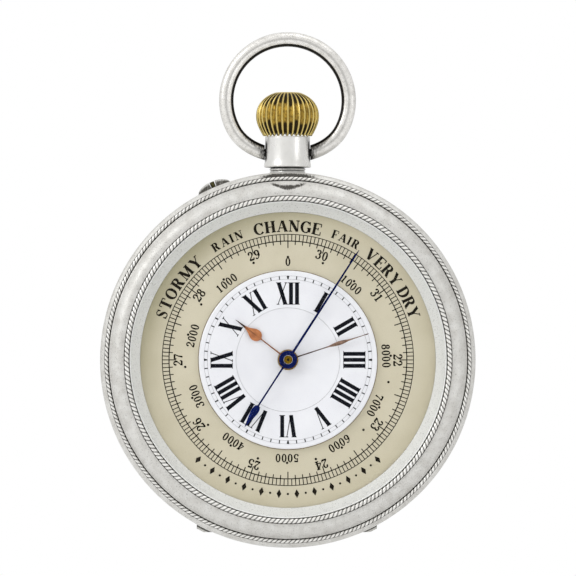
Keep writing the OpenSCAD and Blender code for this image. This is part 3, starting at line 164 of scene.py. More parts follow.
class Watch:
    """Where the watch's parts lie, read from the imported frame."""

    def __init__(self) -> None:
        """Reads the dial's centre from the enamel dial's box."""
        low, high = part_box("watch_dial")
        self.x, self.z = (low.x + high.x) / 2, (low.z + high.z) / 2

    def world(self, x: float, y: float, f: float) -> Vector:
        """Gives the place in the row frame, in metres, of a point in the watch's millimetres."""
        return Vector((self.x + x * MM, -f * MM, self.z + y * MM))

    def front(self, node: str) -> float:
        """Gives the forward place of a node's front, in millimetres."""
        return -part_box(node)[0].y / MM

    def back(self, node: str) -> float:
        """Gives the forward place of a node's back, in millimetres."""
        return -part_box(node)[1].y / MM

    def top(self, node: str) -> float:
        """Gives how far a node reaches towards twelve o'clock, in millimetres."""
        return (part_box(node)[1].z - self.z) / MM

    def bottom(self, node: str) -> float:
        """Gives the end of a node nearest six o'clock, in millimetres."""
        return (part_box(node)[0].z - self.z) / MM

    def radius(self, node: str) -> float:
        """Gives half a node's width, in millimetres."""
        low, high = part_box(node)
        return (high.x - low.x) / 2 / MM


WATCH = Watch()


class Nodes:
    """A node tree while it is drawn."""

    def __init__(self, tree: bpy.types.NodeTree) -> None:
        """Keeps the tree."""
        self.tree = tree

    def feed(self, socket: Socket, value: object) -> None:
        """Fills an input.

        Args:
            socket: The input.
            value: A socket to link, a colour code or a plain value.
        """
        if isinstance(value, Socket):
            self.tree.links.new(value, socket)
        else:
            socket.default_value = (*linear(value), 1) if isinstance(value, str) else value

    def node(self, kind: str, inputs: dict[int | str, object], **settings: object) -> bpy.types.NodeOutputs:
        """Adds a node.

        Args:
            kind: Its type, without the leading ShaderNode.
            inputs: What fills its inputs, by number or name.
            **settings: Its own properties.

        Returns:
            Its outputs.
        """
        made = self.tree.nodes.new("ShaderNode" + kind)
        for key, value in settings.items():
            setattr(made, key, value)
        for key, value in inputs.items():
            self.feed(made.inputs[key], value)
        return made.outputs

    def math(self, operation: str, first: object, second: object = 0.0) -> Socket:
        """Adds a Math node of one or two sockets or numbers and gives its result."""
        return self.node("Math", {0: first, 1: second}, operation=operation)[0]

    def ramp(self, value: Socket, *stops: tuple[float, float | str]) -> Socket:
        """Adds a ramp.

        Args:
            value: What drives it.
            *stops: Places with their values or colour codes, in order.

        Returns:
            Its colour.
        """
        made = self.tree.nodes.new("ShaderNodeValToRGB")
        band = made.color_ramp.elements
        for _ in stops[2:]:
            band.new(0.5)
        for element, (place, shade) in zip(band, stops):
            element.position = place
            element.color = (*(linear(shade) if isinstance(shade, str) else (shade,) * 3), 1)
        self.feed(made.inputs[0], value)
        return made.outputs[0]

    def output(self, name: str, share: Socket, plain: Socket, white: Socket) -> None:
        """Sends a mix of two shaders to the tree's output.

        Args:
            name: The output node's name.
            share: The share of the white one.
            plain: The shader that gives and takes light.
            white: The white one, for the camera.
        """
        mixed = self.node("MixShader", {0: share, 1: plain, 2: white})
        self.feed(self.tree.nodes[name].inputs["Surface"], mixed[0])


class Sketch(Nodes):
    """The nodes of one material while it is drawn."""

    streak_width: float = 0.14
    streak_length: float = 30.0

    def __init__(self, name: str) -> None:
        """Starts a material with one Principled shader.

        Args:
            name: The material's name.
        """
        self.material = bpy.data.materials.new(name)
        self.material.use_nodes = True
        super().__init__(self.material.node_tree)
        self.shader = self.tree.nodes["Principled BSDF"]
        self.place = self.node("TexCoord", {})["Object"]

    def set(self, **values: object) -> None:
        """Fills the shader's inputs, with underscores for the spaces in their names."""
        for key, value in values.items():
            self.feed(self.shader.inputs[key.replace("_", " ")], value)

    def noise(self, size: float, detail: float = 4.0, stretch: Point = (1, 1, 1),
              place: Socket | None = None) -> Socket:
        """Adds noise that stays with the piece.

        Args:
            size: The size of its patches in millimetres.
            detail: Octaves of finer noise.
            stretch: Scale along x, y and z.
            place: The place that it reads, where it differs.

        Returns:
            A value from 0 to 1.
        """
        vector = self.node("Mapping", {"Vector": place or self.place, "Scale": stretch})[0]
        return self.node("TexNoise", {"Vector": vector, "Scale": 1 / (size * MM), "Detail": detail})["Fac"]

    def streaks(self, lean: float) -> Socket:
        """Adds noise drawn out along the direction of the dial's plane at this angle in radians."""
        drawn = self.node("Mapping", {"Vector": self.place, "Rotation": (0.0, lean, 0.0)})[0]
        return self.noise(self.streak_width, 1.0, (*(1 / self.streak_length,) * 2, 1.0), drawn)

    def mix(self, share: object, first: object, second: object) -> Socket:
        """Mixes two colours, the first where the share is 0 and the second where it is 1."""
        return self.node("Mix", {0: share, 6: first, 7: second}, data_type="RGBA")[2]

    def attribute(self, name: str) -> Socket:
        """Reads a value stored on the mesh."""
        return self.node("Attribute", {}, attribute_name=name)["Fac"]

    def along(self, axis: str, start: float) -> Socket:
        """Gives the distance along an axis from a start in metres, in millimetres."""
        place = self.node("SeparateXYZ", {0: self.place})[axis]
        return self.math("MULTIPLY", self.math("SUBTRACT", place, start), 1 / MM)

    def dial_radius(self) -> Socket:
        """Gives the distance from the dial's centre, in millimetres."""
        squares = [self.math("MULTIPLY", p, p) for p in (self.along("X", WATCH.x), self.along("Z", WATCH.z))]
        return self.math("SQRT", self.math("ADD", *squares))

    def off_seam(self) -> Socket:
        """Gives the distance from the back cover's seam, which lies at its hinge, in millimetres."""
        low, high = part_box("hinge_pin")
        return self.math("ABSOLUTE", self.along("Y", (low.y + high.y) / 2))

    def upper_left(self, reach: float) -> Socket:
        """Gives 1 at the dial's upper left, this many millimetres out, falling to 0 past its middle."""
        lean = self.math("SUBTRACT", self.along("Z", WATCH.z), self.along("X", 0.0))
        return self.ramp(self.math("DIVIDE", lean, reach), (0.3, 0.0), (1.0, 1.0))

    def bump(self, height: Socket, depth: float) -> None:
        """Raises the surface by a height from 0 to 1, where 1 stands for the depth in millimetres."""
        self.set(Normal=self.node("Bump", {"Height": height, "Distance": depth * MM})[0])


@dataclass(frozen=True)
class Finish:
    """A named finish that draws its own material."""

    name: str

    def build(self) -> Material:
        """Draws the finish's nodes and gives its material."""
        raise NotImplementedError


@dataclass(frozen=True)
class Metal(Finish):
    """A worn metal: mottled colour, uneven polish, fine scratches, and dark recesses and marks, partly patina
    and partly painted shade and reflection.
    """

    light: str
    dark: str
    roughness: Pair
    mottle: float
    scratch: float
    depth: float
    # Dark colour of patina, specks, scuffs and the seam, and of painted shade and reflection.
    recess: str = "2c2a26"
    specks: float = 0.0
    speck: float = 0.17
    scuffs: float = 0.0
    satin: float = 0.0
    gloss: float = 0.5
    seam: bool = False
    slope_within: float = 0.0
    slope: str = "e6e7e5"
    slope_shine: float = 0.12
    # Radii between which a ring of painted shade darkens the metal.
    grimy: Pair = (0.0, 0.0)

    def build(self) -> Material:
        """Draws the nodes.

        Returns:
            The material.
        """
        draw = Sketch(self.name)
        patches = draw.noise(self.mottle, 6)
        colour = draw.ramp(patches, (0.32, self.dark), (0.62, self.light))
        draw.set(Metallic=1.0 - self.satin)
        if self.slope_within:
            beyond = draw.math("SUBTRACT", draw.dial_radius(), self.slope_within)
            share = draw.ramp(beyond, (0.0, 1.0), (0.1, 0.0))
            colour = draw.mix(share, colour, self.slope)
            shine = draw.math("MULTIPLY", share, self.slope_shine + self.satin - 1.0)
            draw.set(Metallic=draw.math("ADD", shine, 1.0 - self.satin))
        for share in self.stains(draw):
            colour = draw.mix(share, colour, self.recess)
        # Painted shade and reflection that the mesh marks beside other parts, made uneven, darken the colour
        # and dull the gloss.
        uneven = draw.math("MULTIPLY", draw.noise(0.45, 5, (3.0, 1.0, 0.7)), 1.8)
        grime = draw.ramp(draw.math("MULTIPLY", draw.attribute("dirt"), uneven), (0.3, 0.0), (0.8, 0.92))
        low, high = self.roughness
        draw.set(
            Specular_IOR_Level=draw.math("MULTIPLY", draw.math("SUBTRACT", 1.0, grime), self.gloss),
            Base_Color=draw.mix(grime, colour, self.recess),
            Roughness=draw.ramp(patches, (0.3, high), (0.7, low)),
        )
        draw.bump(draw.noise(self.scratch, 5), self.depth)
        return draw.material

    def stains(self, draw: Sketch) -> list[Socket]:
        """Draws the marks that take the dark colour: the seam, painted shade near the case's edge, specks,
        scuffs, and the patina and painted shade in recesses that the mesh marks.

        Args:
            draw: The material's nodes.

        Returns:
            The share of each mark, in order.
        """
        shares = []
        if self.seam:
            shares.append(draw.ramp(draw.off_seam(), (0.05, 0.75), (0.24, 0.0)))
        # A ring of painted shade between two radii.
        if self.grimy[1]:
            middle, half = sum(self.grimy) / 2, (self.grimy[1] - self.grimy[0]) / 2
            off = draw.math("ABSOLUTE", draw.math("SUBTRACT", draw.dial_radius(), middle))
            shares.append(draw.ramp(draw.math("DIVIDE", off, half), (0.7, 0.85), (1.0, 0.0)))
        if self.specks:
            shares.append(draw.ramp(draw.noise(self.speck), (0.56, 0.0), (0.72, self.specks)))
        if self.scuffs:
            leans = (0.5, 1.3, 2.4)
            shares += [draw.ramp(draw.streaks(lean), (0.64, 0.0), (0.7, self.scuffs)) for lean in leans]
        return [*shares, draw.ramp(draw.attribute("recess"), (0.12, 0.0), (0.8, 1.0))]


@dataclass(frozen=True)
class Gilding(Finish):
    """The crown's worn gilding: bright ridges, ochre grooves, and near-black painted shade at their ends."""

    ridge: str = "d4c07a"
    groove: str = "ac8e3e"
    dull: str = "806830"
    # Near-black of the painted shade.
    dirt: str = "2c2518"

    def build(self) -> Material:
        """Draws the nodes.

        Returns:
            The material.
        """
        draw = Sketch(self.name)
        speckle = draw.noise(0.8, 6)
        worn = draw.ramp(draw.attribute("recess"), (0.22, 0.0), (0.5, 1.0))
        mottled = draw.ramp(draw.noise(0.4, 5), (0.38, self.dull), (0.6, self.groove))
        # Near-black painted shade where the mesh marks it, made speckled.
        patch = draw.math("MULTIPLY", draw.math("ADD", speckle, 0.45), draw.attribute("dirt"))
        share = draw.ramp(patch, (0.3, 0.0), (0.66, 1.0))
        draw.set(
            Base_Color=draw.mix(share, draw.mix(worn, self.ridge, mottled), self.dirt),
            Roughness=draw.ramp(speckle, (0.3, 0.4), (0.7, 0.55)),
            Metallic=1.0,
        )
        draw.bump(draw.noise(0.15), 0.01)
        return draw.material


@dataclass(frozen=True)
class Card(Finish):
    """The barometer dial's aged cream silvering, darker towards its edge and greener towards its upper left
    edge, both painted shadow of the bezel.
    """

    middle: str = "cdc6af"
    edge: str = "c4bca1"
    green: str = "8e8a60"
    cloud: str = "bcb49a"
    inner: float = 14.0
    outer: float = 22.0
    green_reach: float = 30.0

    def build(self) -> Material:
        """Draws the nodes.

        Returns:
            The material.
        """
        draw = Sketch(self.name)
        past = draw.math("SUBTRACT", draw.dial_radius(), self.inner)
        share = draw.math("DIVIDE", past, self.outer - self.inner)
        # The darker edge tone and the greenish tone at the upper left are painted shadow of the bezel.
        tone = draw.ramp(share, (0.0, self.middle), (0.6, self.middle), (1.0, self.edge))
        outward = draw.ramp(share, (0.5, 0.0), (1.0, 0.8))
        tone = draw.mix(draw.math("MULTIPLY", outward, draw.upper_left(self.green_reach)), tone, self.green)
        clouds = draw.ramp(draw.noise(5, 5), (0.3, self.cloud), (0.7, self.middle))
        grain = draw.noise(0.08, 3)
        draw.set(Base_Color=draw.mix(0.4, tone, clouds), Roughness=draw.ramp(grain, (0.3, 0.5), (0.7, 0.62)))
        draw.bump(grain, 0.003)
        return draw.material


@dataclass(frozen=True)
class Glaze(Finish):
    """A smooth coloured glaze or stone under a clear coat."""

    light: str
    dark: str
    roughness: float = 0.18
    coat: float = 0.6

    def build(self) -> Material:
        """Draws the nodes.

        Returns:
            The material.
        """
        draw = Sketch(self.name)
        tone = draw.ramp(draw.noise(3.5), (0.3, self.dark), (0.7, self.light))
        draw.set(Base_Color=tone, Roughness=self.roughness, Coat_Weight=self.coat, Coat_Roughness=0.08)
        draw.bump(draw.noise(1.8, 2), 0.004)
        return draw.material


@dataclass(frozen=True)
class Ink(Finish):
    """Printed or fired black, with worn lighter grains."""

    full: str
    worn: str
    grain: float = 0.09

    def build(self) -> Material:
        """Draws the nodes.

        Returns:
            The material.
        """
        draw = Sketch(self.name)
        tone = draw.ramp(draw.noise(self.grain, 3), (0.45, self.full), (0.75, self.worn))
        draw.set(Base_Color=tone, Roughness=0.6, Specular_IOR_Level=0.08)
        return draw.material


@dataclass(frozen=True)
class Glass(Finish):
    """The domed glass, clear face on and brighter where it is seen at a slant."""

    facing: float = 0.001
    edge: float = 0.5

    def build(self) -> Material:
        """Draws the nodes.

        Returns:
            The material.
        """
        draw = Sketch(self.name)
        slant = draw.node("LayerWeight", {"Blend": 0.25})["Facing"]
        draw.set(
            Alpha=draw.ramp(slant, (0.0, self.facing), (0.12, 0.004), (1.0, self.edge)),
            Roughness=draw.ramp(draw.noise(6, 3), (0.3, 0.02), (0.8, 0.06)),
            Base_Color=(0.95, 0.97, 0.97, 1), IOR=1.5,
        )
        return draw.material


SILVER = Metal("silver", "d6d5d1", "c8c7c2", (0.26, 0.4), 7.0, 0.12, 0.0015, "4a4740", 0.22,
               scuffs=0.2, satin=0.15, seam=True)
# The band's ring at radii 28.02 to 28.3 is painted shade near the case's outer edge.
SILVER_BAND = Metal("silver_band", "d4d3cf", "c4c3be", (0.28, 0.42), 6.0, 0.12, 0.0015, "282620", 0.2,
                    scuffs=0.12, satin=0.15, seam=True, grimy=(28.02, 28.3))
SILVER_RING = Metal("silver_ring", "d2d1cd", "c2c0bb", (0.42, 0.54), 1.6, 0.09, 0.002, "2e2b26", 0.4,
                    satin=0.6, slope_within=23.5)
SILVER_ROPE = Metal("silver_rope", "eeede9", "dcdad5", (0.3, 0.4), 0.8, 0.1, 0.001, "282622", satin=0.25)
SILVER_POLISHED = Metal("silver_polished", "e8e7e4", "dbdad6", (0.24, 0.36), 2.5, 0.12, 0.001, "181613",
                        satin=0.5)
SILVER_BOW = Metal("silver_bow", "e8e6e2", "d4d2cd", (0.34, 0.46), 0.9, 0.09, 0.003, "141210", 0.45,
                   satin=0.3)
ROSE_GOLD = Metal("rose_gold", "be7a4c", "a0623c", (0.4, 0.5), 0.8, 0.08, 0.002, "3c2218", satin=0.5)
WORN_ROSE = Metal("worn_rose_gold", "967866", "584236", (0.4, 0.5), 0.35, 0.08, 0.002, "3c281e", satin=0.5)
BLUED_STEEL = Metal("blued_steel", "0a1a56", "06103e", (0.25, 0.35), 1.5, 0.08, 0.002, "080a1e",
                    satin=0.3, gloss=0.1)
STEEL = Metal("polished_steel", "ced0d4", "b0b2b8", (0.14, 0.26), 1.5, 0.08, 0.002)
GILT_BRASS = Metal("gilt_brass", "e0be70", "d4b062", (0.3, 0.42), 5.0, 0.06, 0.006, "3c2a10", 0.12)
BRASS = Metal("plain_brass", "d8b668", "be984e", (0.22, 0.34), 1.4, 0.1, 0.003, "3c2a10")
OLD_BRASS = Metal("old_brass", "806204", "5c4606", (0.4, 0.5), 0.3, 0.1, 0.003, "0e0c08",
                  satin=0.3, gloss=0.2)
OLIVE_BRASS = Metal("olive_brass", "68643a", "424026", (0.4, 0.5), 0.3, 0.1, 0.003, "0e0c08", satin=0.4)
CAPSULE = Metal("capsule_sheet", "d6c4a0", "beaa82", (0.3, 0.4), 2.0, 0.1, 0.004, "463824")
GILT_CROWN = Gilding("gilt_crown")
CREAM_CARD = Card("cream_dial")
ENAMEL = Glaze("white_enamel", "ecedf1", "e6e7ec")
RUBY = Glaze("ruby", "c42842", "a0142e", 0.08, 1.0)
DIAL_INK = Ink("dial_ink", "1a1610", "322c22")
ENAMEL_INK = Ink("fired_black", "080a12", "181a24")
HAIR_INK = Ink("grey_line", "969698", "b0b0b2")
# A brownish painted shadow line, where the enamel disc sits on the cream dial.
SHADOW_LINE_INK = Ink("painted_shadow_line", "70604a", "96866c")
CLEAR_GLASS = Glass("crystal_glass")


@cache
def material_of(finish: Finish) -> Material:
    """Gives the material of a finish, built the first time."""
    return finish.build()


class Form:
    """Vertices and faces of one piece, gathered in the watch's millimetres."""

    def __init__(self) -> None:
        """Starts an empty form."""
        self.points: list[Point] = []
        self.faces: list[tuple[int, ...]] = []
        self.marks: dict[str, list[float]] = {"recess": [], "dirt": []}

    def grid(self, rows: list[list[Point]], closed: bool, recess: Iterable[float] = (),
             dirt: Iterable[float] = ()) -> None:
        """Adds a tube of four-sided faces.

        Args:
            rows: Its rings of points, all of one length.
            closed: Whether the last ring joins the first, and otherwise a face closes each end.
            recess: How dark each point is with patina and painted shade, 0 to 1, ring by ring.
            dirt: How dark each point is with painted shade and reflection, 0 to 1, ring by ring.
        """
        start, wide, last = len(self.points), len(rows[0]), len(rows) - 1
        for j in range(last + closed):
            here, above = start + j * wide, start + (j + 1) % (last + 1) * wide
            for i in range(wide):
                right = (i + 1) % wide
                self.faces.append((here + i, here + right, above + right, above + i))
        if not closed:
            self.faces.append(tuple(start + i for i in range(wide - 1, -1, -1)))
            self.faces.append(tuple(start + last * wide + i for i in range(wide)))
        self.points += [point for row in rows for point in row]
        for key, values in (("recess", recess), ("dirt", dirt)):
            self.marks[key] += [*values] or [0.0] * (len(self.points) - start)

    def revolve(self, profile: list[Point], place: Place, segments: int = 256, closed: bool = True) -> None:
        """Turns a profile about an axis.

        Args:
            profile: Radius, place along the axis and darkness of each point, patina and painted shade.
            place: Puts a point of radius, place along and turn in space.
            segments: Steps round the axis.
            closed: Whether the profile is a loop, and otherwise its ends are closed by discs.
        """
        turns = [FULL_TURN * i / segments for i in range(segments)]
        rows = [[place(radius, along, turn) for turn in turns] for radius, along, _ in profile]
        self.grid(rows, closed, [mark for _, _, mark in profile for _ in turns])

    def ribbon(self, path: Stroke, low: float, high: float, closed: bool = False) -> None:
        """Adds a flat raised line.

        Args:
            path: Its points, x, y and width.
            low: Forward place of its back.
            high: Forward place of its front.
            closed: Whether its end joins its start.
        """
        rows = []
        count = len(path)
        for i, (x, y, width) in enumerate(path):
            before = path[i - 1] if i or closed else path[0]
            after = path[(i + 1) % count] if i < count - 1 or closed else path[-1]
            run = (after[0] - before[0], after[1] - before[1])
            length = math.hypot(*run) or 1.0
            side = (-run[1] / length * width / 2, run[0] / length * width / 2)
            left, right = (x + side[0], y + side[1]), (x - side[0], y - side[1])
            rows.append([(*left, low), (*left, high), (*right, high), (*right, low)])
        self.grid(rows, closed)

    def build(self, name: str, finish: Finish, body: str, slot: Slot, replaces: tuple[str, ...] = (),
              smooth: float = 32.0) -> bpy.types.Object:
        """Makes the piece's object and puts it on its body.

        Args:
            name: The piece's name.
            finish: Its finish.
            body: The body that it rides on.
            slot: The record's slot of its finish; not used.
            replaces: The CAD nodes that it stands for.
            smooth: Edges flatter than this, in degrees, are shaded smooth.

        Returns:
            The object.
        """
        mesh = bpy.data.meshes.new(name)
        mesh.from_pydata([WATCH.world(*point) for point in self.points], [], self.faces)
        for key, values in self.marks.items():
            mesh.attributes.new(key, "FLOAT", "POINT").data.foreach_set("value", values)
        work = bmesh.new()
        work.from_mesh(mesh)
        bmesh.ops.recalc_face_normals(work, faces=work.faces)
        work.to_mesh(mesh)
        work.free()
        mesh.shade_smooth()
        mesh.set_sharp_from_angle(angle=math.radians(smooth))
        mesh.materials.append(material_of(finish))
        made = add_object(name, mesh)
        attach(made, body)
        if replaces:
            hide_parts(*replaces)
        log.info("%s rides on %s with %d faces", name, body, len(self.faces))
        return made


@dataclass
class Bezel:
    """The front bezel: rim, two rope borders, the convex band between and the slope to the dial."""

    rim: float = 27.9
    seat: float = 25.3
    seam: float = 27.2
    outer_rope: float = 27.0
    inner_rope: float = 24.0
    ropes: Pair = (0.25, 0.33)
    lip: float = 23.4
    slope: float = 22.0
    drop: float = 1.3
    band_width: float = 2.13
    band_steps: int = 12
    strands: tuple[int, int] = (251, 222)
    starts: int = 2
    sides: int = 14
    # A crescent of painted dark reflection of the pendant on the band.
    smile_turn: float = 6.2
    smile_r: float = 26.4
    smile_sag: float = 0.8
    smile_w: float = 0.55
    # Painted black shade on the rim beside the pendant's collar.
    black_rim: float = 27.2
    black_w: float = 0.75
    black_turn: float = 5.0
    front: float = WATCH.front("bezel") - 0.48
    back: float = WATCH.back("bezel")
    dial: float = WATCH.front("barometer_dial")

    def ring(self) -> None:
        """Turns the bezel itself, with a dark channel of patina and painted shade on both sides of each rope,
        and painted reflection and shade under the pendant.
        """
        top, back, dial, rim, lip = self.front, self.back, self.dial, self.rim, self.lip
        outer, inner, low = self.outer_rope, self.inner_rope, self.front - self.drop
        band = [
            (outer - 0.44 - self.band_width * i / self.band_steps,
             low + 0.14 + (self.drop - 0.16) * i / self.band_steps
             + 0.36 * math.sin(math.pi * i / self.band_steps), 0)
            for i in range(self.band_steps + 1)
        ]
        form = Form()
        # The third values darken the seam, the channels beside the ropes and the slope's foot with patina and
        # painted shade.
        form.revolve([
            (self.seat, back, 0), (self.seam, back, 0.2), (rim - 0.3, back + 0.25, 0.3),
            (rim - 0.05, back + 0.6, 0), *arc(rim - 0.75, back + 1.15, 0.78, -12, 62),
            (outer + 0.3, low + 0.05, 0.1), (outer + 0.24, low - 0.06, 0.8), (outer - 0.24, low - 0.1, 1.0),
            (outer - 0.34, low + 0.02, 1.0), (outer - 0.39, low + 0.12, 0.1), *band,
            (inner + 0.41, top, 0.9), (inner + 0.32, top - 0.12, 1.0), (inner - 0.32, top - 0.12, 1.0),
            (inner - 0.41, top + 0.02, 0.9), (inner - 0.45, top + 0.06, 0.0),
            (lip + 0.08, top + 0.08, 0), (lip, top + 0.02, 0), (lip - 0.02, top - 0.12, 0),
            (lip + 0.03, top - 1.1, 0), (lip - 0.05, top - 1.2, 0), (self.slope + 0.08, dial + 0.3, 0),
            (self.slope, dial + 0.2, 0.4), (self.slope + 0.04, dial + 0.1, 0.6), (self.seat, dial + 0.1, 0),
        ], around_dial, 512)
        # Painted reflection and shade under the pendant.
        form.marks["dirt"] = [self.grime(math.hypot(x, y), abs(math.degrees(math.atan2(x, y))))
                              for x, y, _ in form.points]
        form.build("bezel_ring", SILVER_RING, "bezel", Slot.SILVER, ("bezel",))

    def grime(self, radius: float, turn: float) -> float:
        """Gives how dark the ring is, as painted light: a dark crescent that is a painted reflection of the
        pendant, and a black rim of painted shade under the pendant.

        Args:
            radius: Distance from the dial's centre.
            turn: Degrees from twelve o'clock, either way.

        Returns:
            The darkness, 0 to 1.
        """
        if radius > self.black_rim:
            inner = max(0.0, 1 - (radius - self.black_rim) / self.black_w)
            return min(1.3, 2.4 * inner) * clamp(1 - (turn - self.black_turn) / 6)
        share = min(1.0, turn / self.smile_turn)
        middle = self.smile_r - self.smile_sag * math.cos(math.pi / 2 * share)
        ragged = 1 + 0.3 * math.sin(4.7 * turn) * math.cos(2.3 * turn + 9 * radius)
        near = max(0.0, 1 - abs(radius - middle) / (self.smile_w * ragged * (1 - share / 2)))
        return (1 - share ** 6) * min(1.1, 1.8 * near)

    def twist(self, name: str, radius: float, forward: float, thickness: float, strands: int) -> None:
        """Lays a twisted rope border in its channel.

        Args:
            name: The piece's name.
            radius: Radius of the rope's middle.
            forward: Forward place of its middle.
            thickness: The rope's own radius.
            strands: How many strands cross it.
        """
        steps = strands * 8
        rows = []
        recess = []
        for i in range(steps):
            turn = FULL_TURN * i / steps
            rows.append([])
            for j in range(self.sides):
                phase = FULL_TURN * j / self.sides
                ridge = abs(math.cos((strands * turn + self.starts * phase) / 2))
                thick = thickness * (0.82 + 0.24 * ridge ** 0.6)
                height = math.sin(phase)
                rows[-1].append(around_dial(radius + thick * math.cos(phase), forward + thick * height, turn))
                # The marks are painted shade, dark between the strands and under the rope.
                side = 0.5 * max(0.0, 0.3 - height)
                recess.append(min(1.0, (1 - ridge) ** (2.5 - 1.2 * min(1.0, 1 - height)) * 1.4 + side))
        form = Form()
        form.grid(rows, True, recess)
        form.build(name, SILVER_ROPE, "bezel", Slot.SILVER, smooth=60)

    def build(self) -> None:
        """Makes the bezel and its ropes."""
        self.ring()
        outer, inner = self.strands
        thin, thick = self.ropes
        self.twist("outer_rope_border", self.outer_rope, self.front - self.drop + 0.06, thin, outer)
        self.twist("inner_rope_border", self.inner_rope, self.front + 0.08, thick, inner)


@dataclass(frozen=True)
class Glyph:
    """A letter or figure: its width and its strokes, in a box one unit high."""

    width: float
    strokes: list[Stroke]


# Each glyph is its width and its coded strokes, which Alphabet.stroke explains. The small
# letters are the Roman hours. T and t stand for the pen's thick and thin widths and R for the
# half width of a ring that fills a figure's box.
GLYPHS = {
    "0": ".62 c.31,.5,R,.48,0,360",
    "1": ".62 s.3,0,.98 h.3,.96,.12,.8",
    "2": ".62 c.3,.72,.2,.26,165,-35 h.47,.58,.08,.1 b.06,.09,.56,.09 h.57,.05,.6,.3 o.12,.76",
    "3": ".62 c.28,.76,.2,.22,150,-90 c.28,.29,.24,.27,90,-150 o.12,.84 o.1,.18",
    "4": ".62 s.44 h.42,.97,.03,.3 h.02,.29,.62,.29",
    "5": ".62 h.14,.5,.14,.97 b.13,.9,.54,.9 c.28,.31,.24,.29,130,-150 o.1,.18",
    "6": ".62 c.32,.29,.21,.27,0,360 o.5,.88,.09 p.12,.3,T,.13,.6,T,.24,.85,.1,.38,.97,t,.5,.94,t",
    "7": ".62 b.08,.9,.56,.9 h.07,.98,.07,.68 p.57,.92,t,.38,.5,.12,.28,0,T",
    "8": ".62 c.31,.75,.17,.22,0,360 c.31,.27,.22,.25,0,360",
    "9": ".62 c.3,.71,.21,.27,0,360 o.12,.12,.09 p.5,.7,T,.49,.4,T,.38,.15,.1,.24,.03,t,.12,.06,t",
    "A": ".96 h.14,.02,.46,.99 b.5,.96,.8,.02 h.25,.34,.7,.34 f.14,0,.14 f.8,0,.17",
    "C": ".86 c.48,.5,.37,.47,42,318 h.8,.98,.8,.66 o.76,.8,.07",
    "D": ".9 s.22 c.36,.5,.42,.475,-90,90 h.2,.975,.38,.975 h.2,.025,.38,.025",
    "E": ".82 s.22 h.22,.975,.76,.975 h.76,.99,.76,.72 h.22,.025,.78,.025 h.78,.01,.78,.3"
         " h.22,.52,.54,.52 h.54,.4,.54,.64",
    "F": ".76 s.22 h.22,.975,.72,.975 h.72,.99,.72,.7 h.22,.5,.52,.5 h.52,.38,.52,.62",
    "G": ".92 c.48,.5,.37,.47,42,300 h.8,.98,.8,.66 b.76,.08,.76,.42 h.58,.43,.92,.43",
    "H": ".98 s.22 s.76 h.22,.5,.76,.5",
    "I": ".4 s.2",
    "M": "1.12 h.16,.02,.16,.98 b.2,.97,.54,.04 h.56,.04,.88,.97 s.92 f.16,0,.15 f.14,1,.14",
    "N": ".96 h.17,.02,.17,.98 b.2,.95,.76,.05 h.8,.02,.8,.98 f.17,0,.15 f.8,1,.15 f.13,1,.13",
    "O": ".86 c.43,.5,.34,.47,0,360",
    "R": ".92 s.22 c.4,.75,.26,.225,-90,90 h.2,.975,.42,.975 h.2,.525,.42,.525 b.5,.5,.72,.06 f.78,0,.12",
    "S": ".68 p.55,.78,t,.46,.94,t,.3,.97,t,.15,.88,.09,.14,.7,.17,.28,.56,T,.44,.44,T,.54,.28,.17"
         ",.5,.1,.09,.34,.03,t,.2,.05,t,.1,.24,t h.56,.98,.56,.7 h.09,.02,.09,.32",
    "T": ".84 b.42,0,.42,.98 f.42,0,.2 h.06,.975,.78,.975 h.06,.99,.06,.72 h.78,.99,.78,.72",
    "V": ".94 b.18,.98,.47,.03 h.49,.02,.8,.98 f.16,1,.16 f.8,1,.14",
    "Y": ".92 b.16,.98,.47,.46 h.8,.98,.5,.46 b.47,0,.47,.5 f.15,1,.15 f.79,1,.13 f.47,0,.19",
    "i": ".3 b.15,0,.15,1 f.15,0,.14 f.15,1,.14",
    "v": ".58 b.13,.99,.29,0 h.31,0,.5,.99 f.13,1,.13 f.5,1,.07",
    "x": ".6 b.13,.99,.47,.01 h.5,.99,.1,.01 f.13,1,.13 f.5,1,.07 f.47,0,.13 f.1,0,.07",
}


